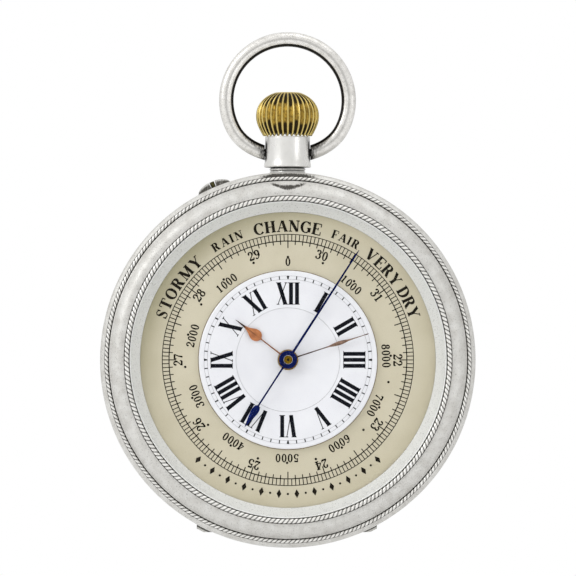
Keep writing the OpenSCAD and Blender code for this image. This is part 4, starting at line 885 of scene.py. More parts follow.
@dataclass(frozen=True)
class Alphabet:
    """Upright serif letters and figures, drawn with a thick and a thin pen."""

    thick: float
    thin: float
    ring: float = 0.31

    def foot(self, x: float, y: float, half: float = 0.19) -> Stroke:
        """Draws a serif across the end of a stroke, inside the letter's height."""
        inside = y + self.thin / 2 if y < 0.5 else y - self.thin / 2
        return [(x - half, inside, self.thin), (x + half, inside, self.thin)]

    def bowl(self, cx: float, cy: float, rx: float, ry: float, start: float, end: float) -> Stroke:
        """Draws a curve that is thick at its sides and thin at its top and bottom.

        Args:
            cx: Its centre across.
            cy: Its centre up.
            rx: Its half width.
            ry: Its half height.
            start: First angle in degrees, from the right and turning up.
            end: Last angle in degrees.

        Returns:
            The stroke.
        """
        steps = max(6, int(abs(end - start) / 20))
        stroke = []
        for i in range(steps + 1):
            turn = math.radians(start + (end - start) * i / steps)
            width = self.thin + (self.thick - self.thin) * abs(math.cos(turn)) ** 1.4
            stroke.append((cx + rx * math.cos(turn), cy + ry * math.sin(turn), width))
        return stroke

    def stroke(self, kind: str, v: list[float]) -> list[Stroke]:
        """Draws one coded stroke.

        Args:
            kind: b for a thick bar and h for a hairline, both between two points, f for a serif,
                o for a ball, c for a bowl, s for an upright with a serif at each end that
                reaches the top or the foot, and p for a path of points with their widths.
            v: Its numbers.

        Returns:
            The strokes.
        """
        if kind in "bh":
            width = self.thick if kind == "b" else self.thin
            return [[(v[0], v[1], width), (v[2], v[3], width)]]
        if kind == "f":
            return [self.foot(*v)]
        if kind == "o":
            x, y, radius = [*v, 0.1][:3]
            return [round_dot(x, y, 2 * radius, (-0.99, -0.8, -0.4, 0.0, 0.4, 0.8, 0.99))]
        if kind == "c":
            return [self.bowl(*v)]
        if kind == "s":
            x, low, high = v if len(v) == 3 else (v[0], 0.0, 1.0)
            return [[(x, low, self.thick), (x, high, self.thick)],
                    *[self.foot(x, y) for y in (low, high) if y in (0.0, 1.0)]]
        return [list(zip(v[::3], v[1::3], v[2::3]))]

    def glyph(self, char: str) -> Glyph:
        """Draws a glyph from its code.

        Args:
            char: Its key in the table of glyphs.

        Returns:
            The glyph.
        """
        pen = {"T": self.thick, "t": self.thin, "R": self.ring - self.thick / 2}
        width, *codes = GLYPHS[char].split()
        strokes = []
        for code in codes:
            numbers = [pen[part] if part in pen else float(part) for part in code[1:].split(",")]
            strokes += self.stroke(code[0], numbers)
        return Glyph(float(width), strokes)


class Print:
    """Raised print on a dial: circles, ticks, dots and lettering."""

    root: float = 0.01
    height: float = 0.018

    def __init__(self, surface: float) -> None:
        """Starts a print on a flat surface at this forward place."""
        self.form = Form()
        self.low, self.high = surface - self.root, surface + self.height

    def circle(self, radius: float, width: float, segments: int = 240) -> None:
        """Prints a full circle."""
        path = [around_dial(radius, width, FULL_TURN * i / segments) for i in range(segments)]
        self.form.ribbon(path, self.low, self.high, True)

    def tick(self, angle: float, inner: float, outer: float, width: float, tip: float | None = None) -> None:
        """Prints a radial line.

        Args:
            angle: Degrees clockwise from twelve.
            inner: Radius of its inner end.
            outer: Radius of its outer end.
            width: Its width.
            tip: Width at the outer end, where it differs.
        """
        ends = ((inner, width), (outer, width if tip is None else tip))
        self.form.ribbon([around_dial(r, w, math.radians(angle)) for r, w in ends], self.low, self.high)

    def dot(self, angle: float, radius: float, size: float) -> None:
        """Prints a round dot at an angle in degrees clockwise from twelve."""
        x, y, _ = around_dial(radius, 0.0, math.radians(angle))
        self.form.ribbon(round_dot(x, y, size, (-0.98, -0.7, -0.3, 0.3, 0.7, 0.98)), self.low, self.high)

    def glyph(self, glyph: Glyph, angle: float, radius: float, height: float, shift: float = 0.0,
              narrow: float = 1.0) -> None:
        """Prints one glyph with its foot towards the centre.

        Args:
            glyph: What to print.
            angle: Degrees clockwise from twelve.
            radius: Radius of the glyph's middle.
            height: Its height.
            shift: How far it is moved sideways, in millimetres.
            narrow: The share of its full width that it is drawn at.
        """
        for stroke in glyph.strokes:
            path = []
            for u, v, width in stroke:
                across = (u - glyph.width / 2) * height * narrow + shift
                up = radius + (v - 0.5) * height
                path.append((*turned(across, up, math.radians(angle)), width * height))
            self.form.ribbon(path, self.low, self.high)

    def straight(self, text: str, alphabet: Alphabet, angle: float, radius: float, height: float,
                 gap: float = 0.0, narrow: float = 1.0) -> None:
        """Prints a short word whose letters stand side by side.

        Args:
            text: The word.
            alphabet: The letters' forms.
            angle: Degrees clockwise from twelve at its middle.
            radius: Radius of its middle.
            height: Its height.
            gap: Space between letters, as a share of the height.
            narrow: The share of its full width that it is drawn at.
        """
        glyphs = [alphabet.glyph(char) for char in text]
        place = -(sum(glyph.width for glyph in glyphs) + gap * (len(glyphs) - 1)) / 2
        for glyph in glyphs:
            shift = (place + glyph.width / 2) * height * narrow
            self.glyph(glyph, angle, radius, height, shift, narrow)
            place += glyph.width + gap

    def curved(self, text: str, alphabet: Alphabet, first: float, last: float, radius: float,
               height: float) -> None:
        """Prints a word along an arc, its letters turned one by one and evenly spaced.

        Args:
            text: The word.
            alphabet: The letters' forms.
            first: Angle of the first letter's middle, in degrees clockwise from twelve.
            last: Angle of the last letter's middle.
            radius: Radius of the letters' middles.
            height: Their height.
        """
        glyphs = [alphabet.glyph(char) for char in text]
        steps = [(a.width + b.width) / 2 for a, b in zip(glyphs, glyphs[1:])]
        spare = (math.radians(last - first) * radius / height - sum(steps)) / len(steps)
        place = first
        for glyph, step in zip(glyphs, [*steps, 0.0]):
            self.glyph(glyph, place, radius, height)
            place += math.degrees((step + spare) * height / radius)

    def build(self, name: str, finish: Finish, slot: Slot) -> None:
        """Makes the print, which stays with the case."""
        self.form.build(name, finish, "case", slot)


@dataclass
class BarometerDial:
    """The cream dial's scale of inches, its heights in feet and its weather words."""

    scale_in: float = 17.7
    scale_out: float = 18.7
    tenth_in: float = 17.15
    half_in: float = 16.65
    inch_turn: float = 36.0
    ticks: int = 200
    datum_inch: float = 29.5
    figure_r: float = 16.35
    figure_h: float = 1.32
    feet_r: float = 14.62
    feet_h: float = 1.2
    dot_r: float = 15.32
    scale_feet: float = 27000.0
    word_r: float = 19.95
    large: float = 1.72
    small: float = 1.26
    border: tuple[float, float, int] = (138.0, 222.0, 22)
    lozenge: float = 0.62
    surface: float = WATCH.front("barometer_dial")

    def inch_angle(self, inches: float) -> float:
        """Gives the pointer's angle at a pressure, clockwise from twelve."""
        return (inches - self.datum_inch) * self.inch_turn

    def feet_angle(self, feet: float) -> float:
        """Gives the pointer's angle at a height, from the fall of pressure with height."""
        return self.inch_angle(self.datum_inch * math.exp(-feet / self.scale_feet))

    def scale(self) -> None:
        """Prints the two circles and the ticks between and inside them."""
        sheet = Print(self.surface)
        sheet.circle(self.scale_in, 0.15, 360)
        sheet.circle(self.scale_out, 0.115, 360)
        for i in range(self.ticks):
            angle = i * 360 / self.ticks
            sheet.tick(angle, self.scale_in, self.scale_out, 0.13)
            if i % 10 == 0:
                sheet.tick(angle, self.half_in, self.scale_in, 0.15)
            elif i % 2 == 0:
                sheet.tick(angle, self.tenth_in, self.scale_in, 0.14)
        sheet.build("barometer_scale", DIAL_INK, Slot.CREAM_DIAL)

    def figures(self) -> None:
        """Prints the inches, the feet and the dots that mark each five hundred feet."""
        alphabet = Alphabet(0.2, 0.115)
        inches, feet = Print(self.surface), Print(self.surface)
        for value in range(22, 32):
            inches.straight(str(value), alphabet, self.inch_angle(value), self.figure_r, self.figure_h, 0.12)
        inches.build("inch_figures", DIAL_INK, Slot.CREAM_DIAL)
        for value in range(-1000, 8500, 1000):
            feet.straight(str(abs(value)), alphabet, self.feet_angle(value), self.feet_r, self.feet_h, 0.13)
        for value in range(-1000, 8500, 500):
            feet.dot(self.feet_angle(value), self.dot_r, 0.38)
        feet.build("height_figures", DIAL_INK, Slot.CREAM_DIAL)

    def words(self) -> None:
        """Prints the weather words over the scale."""
        sheet = Print(self.surface)
        alphabet = Alphabet(0.25, 0.085)
        for text, first, last, height in (
            ("STORMY", -70, -43.6, self.large), ("RAIN", -32.6, -21.6, self.small),
            ("CHANGE", -12.6, 12.4, self.large), ("FAIR", 20.6, 30.3, self.small),
            ("VERY", 38.6, 53.1, self.large), ("DRY", 59.6, 69.3, self.large),
        ):
            sheet.curved(text, alphabet, first, last, self.word_r, height)
        sheet.build("weather_words", DIAL_INK, Slot.CREAM_DIAL)

    def ornament(self) -> None:
        """Prints a plain border of lozenges and dots round the foot of the dial."""
        sheet = Print(self.surface)
        start, end, marks = self.border
        for i in range(marks + 1):
            angle = start + (end - start) * i / marks
            if i % 2:
                sheet.dot(angle, self.word_r, 0.34)
            else:
                sheet.tick(angle, self.word_r - self.lozenge, self.word_r, 0.04, 0.72)
                sheet.tick(angle, self.word_r, self.word_r + self.lozenge, 0.72, 0.04)
        sheet.build("foot_border", DIAL_INK, Slot.CREAM_DIAL)

    def build(self) -> None:
        """Makes all the print of the barometer dial."""
        for part in (self.scale, self.figures, self.words, self.ornament):
            part()


@dataclass
class WatchDial:
    """The white enamel dial: its sunk centre, minute track and Roman hours."""

    hole: float = 1.5
    sunk: float = 7.57
    step: float = 0.06
    round_over: float = 0.25
    numeral_r: float = 9.87
    numeral_h: float = 3.3
    numeral_w: float = 0.9
    track_in: float = 12.0
    track_out: float = 12.5
    foot: float = 0.35
    foot_r: float = 11.0
    edge: float = WATCH.radius("watch_dial")
    surface: float = WATCH.front("watch_dial")
    back: float = WATCH.front("barometer_dial")

    def disc(self) -> None:
        """Turns the enamelled disc with its rounded edge and sunk centre, and its two feet."""
        form = Form()
        edge, surface, back, over = self.edge, self.surface, self.back, self.round_over
        low = surface - self.step
        form.revolve([
            (self.hole, back, 0), (edge - 0.1, back, 0), (edge, back + 0.1, 0),
            *arc(edge - over, surface - over, over, 0, 90, 6),
            (self.sunk + 0.12, surface, 0), (self.sunk + 0.04, surface - 0.02, 0),
            (self.sunk - 0.05, low, 0), (self.hole + 0.08, low, 0), (self.hole, low - 0.08, 0),
        ], around_dial, 256)
        foot = [(self.foot, WATCH.back("watch_dial"), 0.0), (self.foot, back, 0.0)]
        for turn in (45, -135):
            x, y, _ = around_dial(self.foot_r, 0.0, math.radians(turn))
            form.revolve(foot, partial(around_foot, x, y), 16, False)
        form.build("enamel_disc", ENAMEL, "case", Slot.ENAMEL, ("watch_dial",))

    def track(self) -> None:
        """Prints the minute track and the lines round the sunk centre, and the painted shadow line round the
        dial's edge.
        """
        lines, shade, ticks = Print(self.surface), Print(self.back), Print(self.surface)
        lines.circle(self.track_in, 0.04)
        lines.circle(self.track_out, 0.04)
        lines.circle(self.sunk + 0.17, 0.045)
        lines.build("track_lines", HAIR_INK, Slot.ENAMEL)
        # The line round the disc's edge is painted shadow on the cream dial.
        shade.circle(self.edge + 0.03, 0.12)
        shade.build("painted_dial_shadow", SHADOW_LINE_INK, Slot.CREAM_DIAL)
        for minute in range(60):
            angle = minute * 6
            ticks.tick(angle, self.track_in - 0.02, self.track_out + 0.02, 0.15 if minute % 5 else 0.2)
            if minute % 15 == 0:
                ticks.tick(angle, self.track_in + 0.02, self.track_out - 0.05, 0.06, 0.42)
        ticks.build("minute_ticks", ENAMEL_INK, Slot.ENAMEL)

    def hours(self) -> None:
        """Prints the twelve Roman numerals with their feet to the centre."""
        sheet = Print(self.surface)
        alphabet = Alphabet(0.175, 0.034)
        for hour, name in enumerate("xii i ii iii iiii v vi vii viii ix x xi".split()):
            sheet.straight(name, alphabet, hour * 30, self.numeral_r, self.numeral_h, narrow=self.numeral_w)
        sheet.build("hour_numerals", ENAMEL_INK, Slot.ENAMEL)

    def build(self) -> None:
        """Makes the disc and its print."""
        for part in (self.disc, self.track, self.hours):
            part()


@dataclass
class Hands:
    """The hour and minute hands and the barometer's pointer."""

    hour_angle: float = -52.6
    minute_angle: float = 72.0
    pointer_angle: float = 32.9
    hour_length: float = 9.8
    minute_length: float = 12.65
    pointer_length: float = 19.4
    tail: float = 11.85
    rise: float = 0.13
    stain_width: float = 0.2
    line: float = 0.07
    stem_end: float = 6.5

    def blade(self, form: Form, outline: list[Pair], angle: float, low: float, thick: float,
              dark_from: float = 99.0, stem: float = 0.0) -> None:
        """Adds a hand's blade with a ridge along its middle.

        Args:
            form: The form that takes it.
            outline: Distance from the centre and half width at each place.
            angle: Degrees clockwise from twelve.
            low: Forward place of its back.
            thick: Thickness at its edges.
            dark_from: Distance past which its ridge is darkened as painted shade.
            stem: How dark its stem near the hub is made, 0 to 1.
        """
        rows = []
        dark_share = []
        for along, half in outline:
            ridge = thick + min(self.rise, half * 0.35)
            line = min(self.line, half / 2)
            section = [(-half, 0.0), (-half, thick * 0.6), (-line, ridge - 0.01), (0.0, ridge),
                       (line, ridge - 0.01), (half, thick * 0.6), (half, 0.0)]
            rows.append([(*turned(across, along, math.radians(angle)), low + up) for across, up in section])
            # The ridge past dark_from is painted shade; the stem near the hub darkens too, and narrow parts
            # darken at their edges as well.
            worn = min(stem, max(0.0, (self.stem_end - along) / 1.5))
            share = max(worn, clamp((along - dark_from) / 0.9))
            edge = share if half < self.stain_width else 0.0
            dark_share += [edge, edge, edge, share, edge, edge, edge]
        form.grid(rows, False, dark_share)

    def hub(self, form: Form, hole: float, edge: float, low: float, high: float, dark_share: float = 0.0) -> None:
        """Adds a hand's hub with rounded shoulders.

        Args:
            form: The form that takes it.
            hole: Radius of its hole.
            edge: Its own radius.
            low: Forward place of its back.
            high: Forward place of its front.
            dark_share: How dark it is, 0 to 1, as painted shade round the pointer's boss.
        """
        lip = min(0.08, (high - low) / 2)
        form.revolve([
            (hole, low, dark_share), (edge, low, dark_share), (edge, high - lip, dark_share),
            (edge - lip * 0.4, high - lip * 0.3, dark_share), (edge - lip, high, dark_share), (hole, high, dark_share),
        ], around_dial, 64)

    def hour(self) -> None:
        """Makes the hour hand, with its teardrop leaf."""
        low, high = WATCH.back("hour_hand"), WATCH.front("hour_hand")
        form = Form()
        outline = [(1.3, 0.12), (2.2, 0.1), (4.95, 0.09), (5.1, 0.2), (5.2, 0.42), (5.4, 0.65), (5.7, 0.82),
                   (6.1, 0.88), (6.5, 0.8), (6.9, 0.6), (7.3, 0.38), (7.7, 0.22), (8.4, 0.13),
                   (self.hour_length, 0.035)]
        self.blade(form, outline, self.hour_angle, low, (high - low) * 0.7, 5.6, 0.42)
        self.hub(form, 1.26, 1.38, low, high, 0.75)
        form.build("hour_hand_blade", ROSE_GOLD, "hour", Slot.ROSE_GOLD, ("hour_hand",), 12)

    def minute(self) -> None:
        """Makes the thin minute hand, with its slim leaf."""
        low, high = WATCH.back("minute_hand"), WATCH.front("minute_hand")
        form = Form()
        outline = [(1.0, 0.12), (2.0, 0.1), (5.6, 0.075), (6.4, 0.1), (7.1, 0.22), (7.9, 0.31), (8.5, 0.28),
                   (9.3, 0.15), (9.9, 0.09), (self.minute_length, 0.03)]
        self.blade(form, outline, self.minute_angle, low, (high - low) * 0.7, stem=1.0)
        self.hub(form, 0.96, 1.32, low, high, 0.9)
        form.build("minute_hand_blade", WORN_ROSE, "minute", Slot.ROSE_GOLD, ("minute_hand",), 12)

    def pointer(self) -> None:
        """Makes the blued pointer with its leaf tail, and the brass cap in its boss."""
        low, high = WATCH.back("barometer_pointer"), WATCH.front("barometer_pointer")
        top = WATCH.front("pointer_arbor")
        form, cap = Form(), Form()
        outline = [(-self.tail, 0.04), (-11.4, 0.13), (-10.8, 0.27), (-10.0, 0.43), (-9.4, 0.53),
                   (-8.9, 0.55), (-8.5, 0.48), (-8.25, 0.3), (-8.1, 0.13), (-4.0, 0.12), (-1.1, 0.15),
                   (1.1, 0.18), (10.0, 0.165), (18.6, 0.12), (self.pointer_length, 0.04)]
        self.blade(form, outline, self.pointer_angle, low, (high - low) * 0.65)
        self.hub(form, 0.68, 1.335, low, top)
        form.build("pointer_blade", BLUED_STEEL, "pointer", Slot.BLUED_STEEL, ("barometer_pointer",), 12)
        cap.revolve([
            (0.67, low, 0), (0.67, top - 0.04, 0), (0.6, top + 0.04, 0), (0.32, top + 0.06, 0),
            (0.2, top + 0.04, 0.3), (0.15, top + 0.02, 1.0), (0.06, top + 0.02, 1.0),
        ], around_dial, 48, False)
        cap.build("pointer_cap", OLD_BRASS, "pointer", Slot.BRASS)

    def build(self) -> None:
        """Makes the three hands."""
        for part in (self.hour, self.minute, self.pointer):
            part()


@dataclass
class Crown:
    """The fluted onion crown over the pendant."""

    flutes: int = 32
    across: int = 12
    foot: float = 3.64
    widest: float = 4.7
    waist: float = 0.45
    groove: float = 0.3
    tooth: float = 0.4
    start: float = WATCH.bottom("crown")
    end: float = WATCH.top("crown")

    def radius(self, t: float) -> float:
        """Gives the crown's radius at a share of its height."""
        if t < self.waist:
            return self.foot + (self.widest - self.foot) * math.sin(math.pi / 2 * t / self.waist)
        return self.widest * (1 - ((t - self.waist) / (1.04 - self.waist)) ** 2.2) ** 0.5

    def build(self) -> None:
        """Makes the crown with hollow flutes between thin ridges, its first row inside its foot."""
        levels = [0.0, 0.0, 0.004] + [0.012 + 0.976 * i / 36 for i in range(37)] + [0.996, 1.0]
        count = self.flutes * self.across
        rows = []
        recess = []
        dirt = []
        for level, t in enumerate(levels):
            fade = (0.5 + 0.5 * min(1.0, t / 0.07)) * min(1.0, (1 - t) / 0.05)
            edge = 0.12 if t in (0.0, 1.0) else 0.0
            depth = self.groove * fade * (0.55 + 0.45 * math.sin(math.pi * t))
            rows.append([])
            for i in range(count):
                hollow = math.sin(math.pi * ((i % self.across) / self.across)) ** 1.15
                size = self.radius(t) - edge - depth * hollow
                lift = self.tooth * hollow * max(0.0, 1 - t / 0.2) ** 2
                if level == 0:
                    size, lift = size - 0.5, self.tooth
                place = self.start + (self.end - self.start) * t + lift
                rows[-1].append(around_stem(size, place, FULL_TURN * i / count))
                recess.append(hollow * fade)
                # Painted shade in the flutes' hollows towards the crown's top and bottom.
                flute = i // self.across
                middle = 0.5 + 0.035 * math.sin(2.4 * flute)
                ends = max(0.0, (abs(t - middle) - 0.12 - 0.03 * math.sin(5.1 * flute)) / 0.15)
                dirt.append(min(1.0, ends) * min(1.0, hollow ** 1.6 * 1.5) * min(1.0, (1 - t) / 0.08 + 0.1))
        form = Form()
        form.grid(rows, False, recess, dirt)
        form.build("fluted_crown", GILT_CROWN, "crown", Slot.GILT_CROWN, ("crown",), 50)


@dataclass
class Pendant:
    """The case's neck: a ringed collar and a flared barrel that carries the bow."""

    bore: float = 1.62
    collar: float = 2.65
    flare: float = 3.5
    neck: float = 3.33
    stain_turn: float = 27.0
    shoulder: float = 28.8
    root: float = 26.5
    end: float = WATCH.top("pendant")

    def build(self) -> None:
        """Turns the pendant about the stem's axis."""
        s, collar, flare, neck, end = self.shoulder, self.collar, self.flare, self.neck, self.end
        form = Form()
        # The third values darken the collar's grooves with patina and painted shade.
        form.revolve([
            (self.bore, self.root, 0), (collar + 0.5, self.root, 0), (collar + 0.35, s - 1.2, 0.3),
            (collar + 0.12, s - 1.06, 0.9), (collar - 0.12, s - 1.0, 1.0), (collar - 0.12, s - 0.92, 1.0),
            *arc(collar - 0.14, s - 0.74, 0.16, -75, 75),
            (collar - 0.14, s - 0.56, 0.7), (collar - 0.14, s - 0.5, 0.7),
            *arc(collar - 0.12, s - 0.32, 0.16, -75, 75),
            (collar - 0.14, s - 0.15, 0.8), (collar - 0.1, s - 0.02, 0.8), (flare - 0.18, s, 0.5),
            *arc(flare - 0.14, s + 0.14, 0.14, -80, 10, 5),
            (flare - 0.02, s + 0.4, 0), (neck + 0.08, s + 0.75, 0), (neck + 0.04, s + 1.2, 0),
            (neck + 0.01, s + 2.3, 0), (neck, s + 3.4, 0), (neck + 0.02, end - 0.35, 0),
            *arc(neck - 0.12, end - 0.14, 0.14, 0, 90, 5), (self.bore, end, 0),
        ], around_stem, 128)
        # Painted dark reflection strips down the neck's left and right sides.
        for i, (x, y, f) in enumerate(form.points):
            beside = clamp((self.stain_turn - math.degrees(math.atan2(abs(f), abs(x)))) / 6)
            form.marks["dirt"][i] = beside * (clamp((y - s - 0.5) / 0.6) * clamp((s + 4.4 - y) / 0.6))
        form.build("pendant_neck", SILVER_POLISHED, "case", Slot.SILVER, ("pendant",))


@dataclass
class Bow:
    """The hanging ring: a flattened wire with a broad outer bevel, pinned in the pendant."""

    radius: float = 9.15
    wire: float = 2.15
    pin: float = 0.58
    pin_sides: int = 24
    gap: float = 3.41
    pin_y: float = 31.0
    lift: float = 0.75
    first: float = math.radians(14)
    steps: int = 120
    # Darkness of the painted shadow on the cut ends and the pins.
    end_tarnish: float = 0.9
    stain_reach: float = 1.6

    def section(self) -> list[Point]:
        """Gives the wire's section: outward, forward and how dark, in order; the inner face is a painted dark
        reflection, the middle valley and the outer edge painted shade.
        """
        half = self.wire / 2
        front = [(-half, 0.42, 1.0), (0.05 - half, 0.58, 1.0), (0.16 - half, 0.7, 1.0),
                 (0.36 - half, 0.81, 0.9), (0.42 - half, 0.84, 0.12), (-0.57, 0.92, 0), (-0.42, 0.98, 0),
                 (-0.25, 0.95, 0.05), (-0.08, 0.87, 0.3), (0.02, 0.85, 0.33), (0.14, 0.85, 0.25),
                 (0.4, 0.83, 0), (0.7, 0.7, 0), (0.92, 0.5, 0), (1.03, 0.3, 0.2), (half, 0.0, 0.25)]
        return [*front, *[(out, -forward, mark) for out, forward, mark in reversed(front[:-1])]]

    def build(self) -> None:
        """Sweeps the wire round from one side of the pendant to the other and cuts its ends."""
        middle = WATCH.top("bow") - self.radius - self.wire / 2
        section = self.section()
        rows = []
        for i in range(self.steps + 1):
            turn = self.first + (FULL_TURN - 2 * self.first) * i / self.steps
            raised = self.lift * clamp((math.cos(turn) - 0.5) / 0.45) ** 1.5
            sine, cosine = math.sin(turn), math.cos(turn)
            rows.append([
                ((self.radius + out) * sine, middle - (self.radius + out) * cosine + raised, up)
                for out, up, _ in section
            ])
        form = Form()
        form.grid(rows, False, [mark for _ in rows for _, _, mark in section])
        # Painted shadow near the ends beside the pendant, and a painted dark reflection along the inner edge
        # of the lower half.
        for i, (x, y, _) in enumerate(form.points):
            out = math.hypot(x, y - middle) - self.radius
            near = max(0.0, 1 - max(0.0, abs(x) - self.gap) / self.stain_reach)
            dark_share = near * (0.3 + 0.7 * clamp(1.1 - out / self.wire)) if y < self.pin_y + 3 else 0.0
            rim = clamp((middle - y) / self.radius) * clamp(1.6 - (out + self.wire / 2) / 0.5)
            form.marks["dirt"][i] = max(dark_share, rim)
        self.trim(form.build("bow_ring", SILVER_BOW, "bow", Slot.SILVER, ("bow",), 30).data)

    def trim(self, mesh: bpy.types.Mesh) -> None:
        """Cuts the wire's ends upright beside the pendant and adds the pins.

        Args:
            mesh: The swept wire.
        """
        work = bmesh.new()
        work.from_mesh(mesh)
        level = WATCH.world(0, self.pin_y + 3.5, 0).z
        for side in (-1, 1):
            plane = WATCH.world(side * self.gap, self.pin_y, 0)
            middles = [(f, f.calc_center_median()) for f in work.faces]
            near = [f for f, middle in middles if middle.z < level and middle.x * side > 0]
            parts = dict.fromkeys([*near, *[e for f in near for e in f.edges],
                                   *[v for f in near for v in f.verts]])
            cut = bmesh.ops.bisect_plane(work, geom=list(parts), plane_co=plane, plane_no=(side, 0, 0),
                                         clear_inner=True)
            edges = [e for e in cut["geom_cut"] if isinstance(e, bmesh.types.BMEdge)]
            # The cut ends take painted shadow.
            shade_layer = work.verts.layers.float["recess"]
            for vert in dict.fromkeys(vert for edge in edges for vert in edge.verts):
                vert[shade_layer] = self.end_tarnish
            bmesh.ops.holes_fill(work, edges=edges, sides=0)
            bmesh.ops.triangulate(work, faces=[f for f in work.faces if len(f.verts) > 4])
            self.add_pin(work, side)
        bmesh.ops.recalc_face_normals(work, faces=work.faces)
        work.to_mesh(mesh)
        work.free()

    def add_pin(self, work: bmesh.types.BMesh, side: int) -> None:
        """Adds the round pin that turns in the pendant.

        Args:
            work: The mesh being cut.
            side: 1 towards three o'clock, -1 towards nine.
        """
        rows = []
        for reach in (self.gap + 0.6, self.gap - 1.05):
            rows.append([])
            for i in range(self.pin_sides):
                f, y, _ = around_dial(self.pin, 0.0, FULL_TURN * i / self.pin_sides)
                vert = work.verts.new(WATCH.world(side * reach, self.pin_y + y, f))
                # The pins take the same painted shadow.
                vert[work.verts.layers.float["recess"]] = self.end_tarnish
                rows[-1].append(vert)
        outer, inner = rows
        for i in range(self.pin_sides):
            j = (i + 1) % self.pin_sides
            work.faces.new((outer[i], outer[j], inner[j], inner[i]))
        for row in rows:
            work.faces.new(row)


@dataclass
class PinGuard:
    """The crescent beside the pendant that keeps the setting pin from knocks."""

    turn: float = -23.0
    half_length: float = 2.6
    inside: float = 27.3
    case: float = 28.0
    proud: float = 1.15
    notch: float = 0.5
    pin: float = 0.4
    bevel: float = 0.22

    def outline(self, inset: float) -> list[Pair]:
        """Gives the crescent's outer line, along it and outward, with a notch for the pin.

        Args:
            inset: How far the line lies inside the full crescent.

        Returns:
            Points from one end to the other.
        """
        points = []
        for i in range(25):
            along = self.half_length * (i / 12 - 1)
            out = self.case + (self.proud - inset) * (1 - (along / self.half_length) ** 2) ** 0.6 - 0.1
            points.append((along, out))
        low, top = self.case + 0.12, self.case + self.proud - inset - 0.12
        return [*[p for p in points if p[0] < -self.notch],
                (-self.notch, top), (-self.pin, low), (self.pin, low), (self.notch, top),
                *[p for p in points if p[0] > self.notch]]

    def build(self) -> None:
        """Makes the crescent, bright at its rim and dark with painted shadow at its root and in its notch."""
        back, front, root = WATCH.back("pin_guard"), WATCH.front("pin_guard"), self.inside
        turn = math.radians(self.turn)
        rows = []
        dirt = []
        for (along, out), (_, low) in zip(self.outline(0.0), self.outline(self.bevel)):
            middle = root + (low - root) * 0.82
            section = [(root, back), (middle, back), (low, back), (out, back + self.bevel),
                       (out, front - self.bevel), (low, front), (middle, front), (root, front)]
            rows.append([(*turned(along, reach, turn), forward) for reach, forward in section])
            # Painted shadow: darkest at the root, and darker in the notch by the pin.
            dark = 0.8 if abs(along) <= self.pin else 0.4
            dirt += [1.0, 0.9, dark, dark, dark, dark, 1.0, 1.0]
        form = Form()
        form.grid(rows, False, dirt=dirt)
        form.build("guard_crescent", SILVER, "case", Slot.SILVER, ("pin_guard",))


class Works:
    """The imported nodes' finishes: of those that keep their own shape and of the hidden ones."""

    GROUPS: tuple[tuple[Finish, str], ...] = (
        (SILVER_BAND, "case_band"),
        (SILVER, "back_cover pin_guard"),
        (SILVER_RING, "bezel"),
        (SILVER_BOW, "bow"),
        (SILVER_POLISHED, "dust_cover stem_sleeve pendant"),
        (STEEL, "hinge_pin setting_pin_spring winding_stem winding_pinion crown_wheel ratchet_wheel click"
                " leaf_spring pointer_chain rocking_shaft mainspring pallet_fork escape_wheel barrel_arbor"
                " cannon_pinion pointer_arbor main_lever capsule_post"),
        (BLUED_STEEL, "movement_screws case_screws barometer_screws balance_spring pointer_hairspring"
                      " adjusting_screw barometer_pointer"),
        (GILT_BRASS, "main_plate barrel_bridge train_bridge balance_cock barometer_plate barrel"
                     " pointer_cock rocker_bracket spring_bridge"),
        (GILT_CROWN, "crown"),
        (OLIVE_BRASS, "setting_pin"),
        (BRASS, "movement_ring centre_tube second_wheel third_wheel fourth_wheel minute_wheel hour_wheel"
                " balance_wheel"),
        (ROSE_GOLD, "hour_hand minute_hand"),
        (RUBY, "jewels"),
        (CAPSULE, "vacuum_capsule"),
        (CREAM_CARD, "barometer_dial"),
        (ENAMEL, "watch_dial"),
        (CLEAR_GLASS, "crystal"),
    )

    def build(self) -> None:
        """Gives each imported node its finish."""
        finishes = {name: finish for finish, names in self.GROUPS for name in names.split()}
        for name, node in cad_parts.items():
            node.data.materials.clear()
            node.data.materials.append(material_of(finishes[name]))
        log.info("%d packed nodes dressed", len(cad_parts))


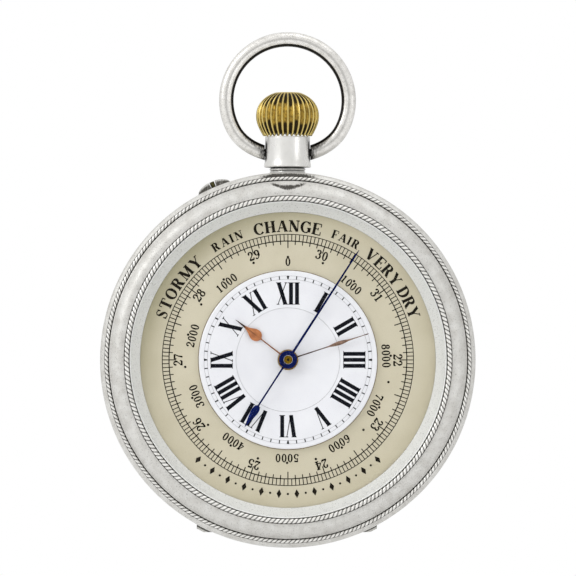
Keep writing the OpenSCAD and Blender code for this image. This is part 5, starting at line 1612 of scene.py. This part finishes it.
@dataclass
class Studio:
    """The camera, the pale floor and the soft light."""

    frame_width: float = 85.7
    centre_x: float = 0.0
    centre_y: float = 10.69
    turn: float = -0.9
    rise: float = -1.3
    distance: float = 1.25
    sensor: float = 36.0
    clip: Pair = (0.05, 20.0)
    floor_half: float = 1.5
    floor_drop: float = 0.03
    shadow_reach: Pair = (0.09, 0.26)

    def camera(self) -> None:
        """Sets a long lens square to the dial, as in the photograph."""
        data = bpy.data.cameras.new("camera")
        data.sensor_width = self.sensor
        data.lens = self.sensor * self.distance / (self.frame_width * MM)
        data.clip_start, data.clip_end = self.clip
        made = add_object("camera", data)
        target = WATCH.world(self.centre_x, self.centre_y, WATCH.front("watch_dial"))
        turn, rise = math.radians(self.turn), math.radians(self.rise)
        back = Vector((math.sin(turn) * math.cos(rise), -math.cos(turn) * math.cos(rise), math.sin(rise)))
        made.location = target + back * self.distance
        made.rotation_euler = (-back).to_track_quat("-Z", "Y").to_euler()
        bpy.context.scene.camera = made

    def floor(self) -> None:
        """Lays a floor that takes the shadow and is plain white to the camera away from it."""
        draw = Sketch("white_paper")
        draw.set(Base_Color=(0.9, 0.9, 0.9, 1), Roughness=0.9)
        length = draw.node("VectorMath", {0: draw.place}, operation="LENGTH")["Value"]
        near, far = self.shadow_reach
        away = draw.node("MapRange", {"Value": length, "From Min": near, "From Max": far})["Result"]
        share = draw.math("MULTIPLY", away, draw.node("LightPath", {})["Is Camera Ray"])
        draw.output("Material Output", share, draw.shader.outputs[0], draw.node("Emission", {})[0])
        mesh = bpy.data.meshes.new("floor")
        low, half = CAD_BOX[0][2] - self.floor_drop, self.floor_half
        corners = [(-half, -half, low), (half, -half, low), (half, half, low), (-half, half, low)]
        mesh.from_pydata(corners, [], [(0, 1, 2, 3)])
        mesh.materials.append(draw.material)
        made = add_object("floor", mesh)

    def lamp(self, name: str, place: Point, size: float, energy: float) -> None:
        """Adds a square soft lamp that faces the watch.

        Args:
            name: The lamp's name.
            place: Where it stands, in metres.
            size: Its side in metres.
            energy: Its power in watts.
        """
        data = bpy.data.lights.new(name, "AREA")
        data.size, data.energy = size, energy
        made = add_object(name, data)
        made.location = place
        made.rotation_euler = (WATCH.world(0, 0, 0) - Vector(place)).to_track_quat("-Z", "Y").to_euler()

    def world(self) -> None:
        """Lights the room evenly, a little darker below, and shows white to the camera."""
        made = bpy.data.worlds.new("room")
        made.use_nodes = True
        draw = Nodes(made.node_tree)
        plain = draw.tree.nodes["Background"]
        up = draw.node("SeparateXYZ", {0: draw.node("TexCoord", {})["Generated"]})["Z"]
        draw.feed(plain.inputs["Color"], draw.ramp(up, (0.0, 0.66), (0.6, 0.92)))
        white = draw.node("Background", {"Color": (1, 1, 1, 1)})[0]
        draw.output("World Output", draw.node("LightPath", {})["Is Camera Ray"], plain.outputs[0], white)
        bpy.context.scene.world = made

    def build(self) -> None:
        """Sets up the whole studio."""
        bpy.context.scene.view_settings.view_transform = "Standard"
        self.camera()
        self.floor()
        self.world()
        self.lamp("left_lamp", (-0.75, -0.55, 0.45), 0.5, 3.3)
        self.lamp("top_lamp", (0.25, -0.35, 0.9), 0.5, 1.5)
        self.lamp("right_lamp", (0.8, -0.7, -0.02), 0.3, 0.8)


def main() -> None:
    """Builds the watch's pieces in order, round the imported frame."""
    logging.basicConfig(level=logging.INFO, format="%(message)s")
    for part in (Studio(), Works(), Bezel(), BarometerDial(), WatchDial(), Hands(), Crown(), Pendant(),
                 Bow(), PinGuard()):
        part.build()
        log.info("%s is built", type(part).__name__)


if __name__ == "__main__":
    main()
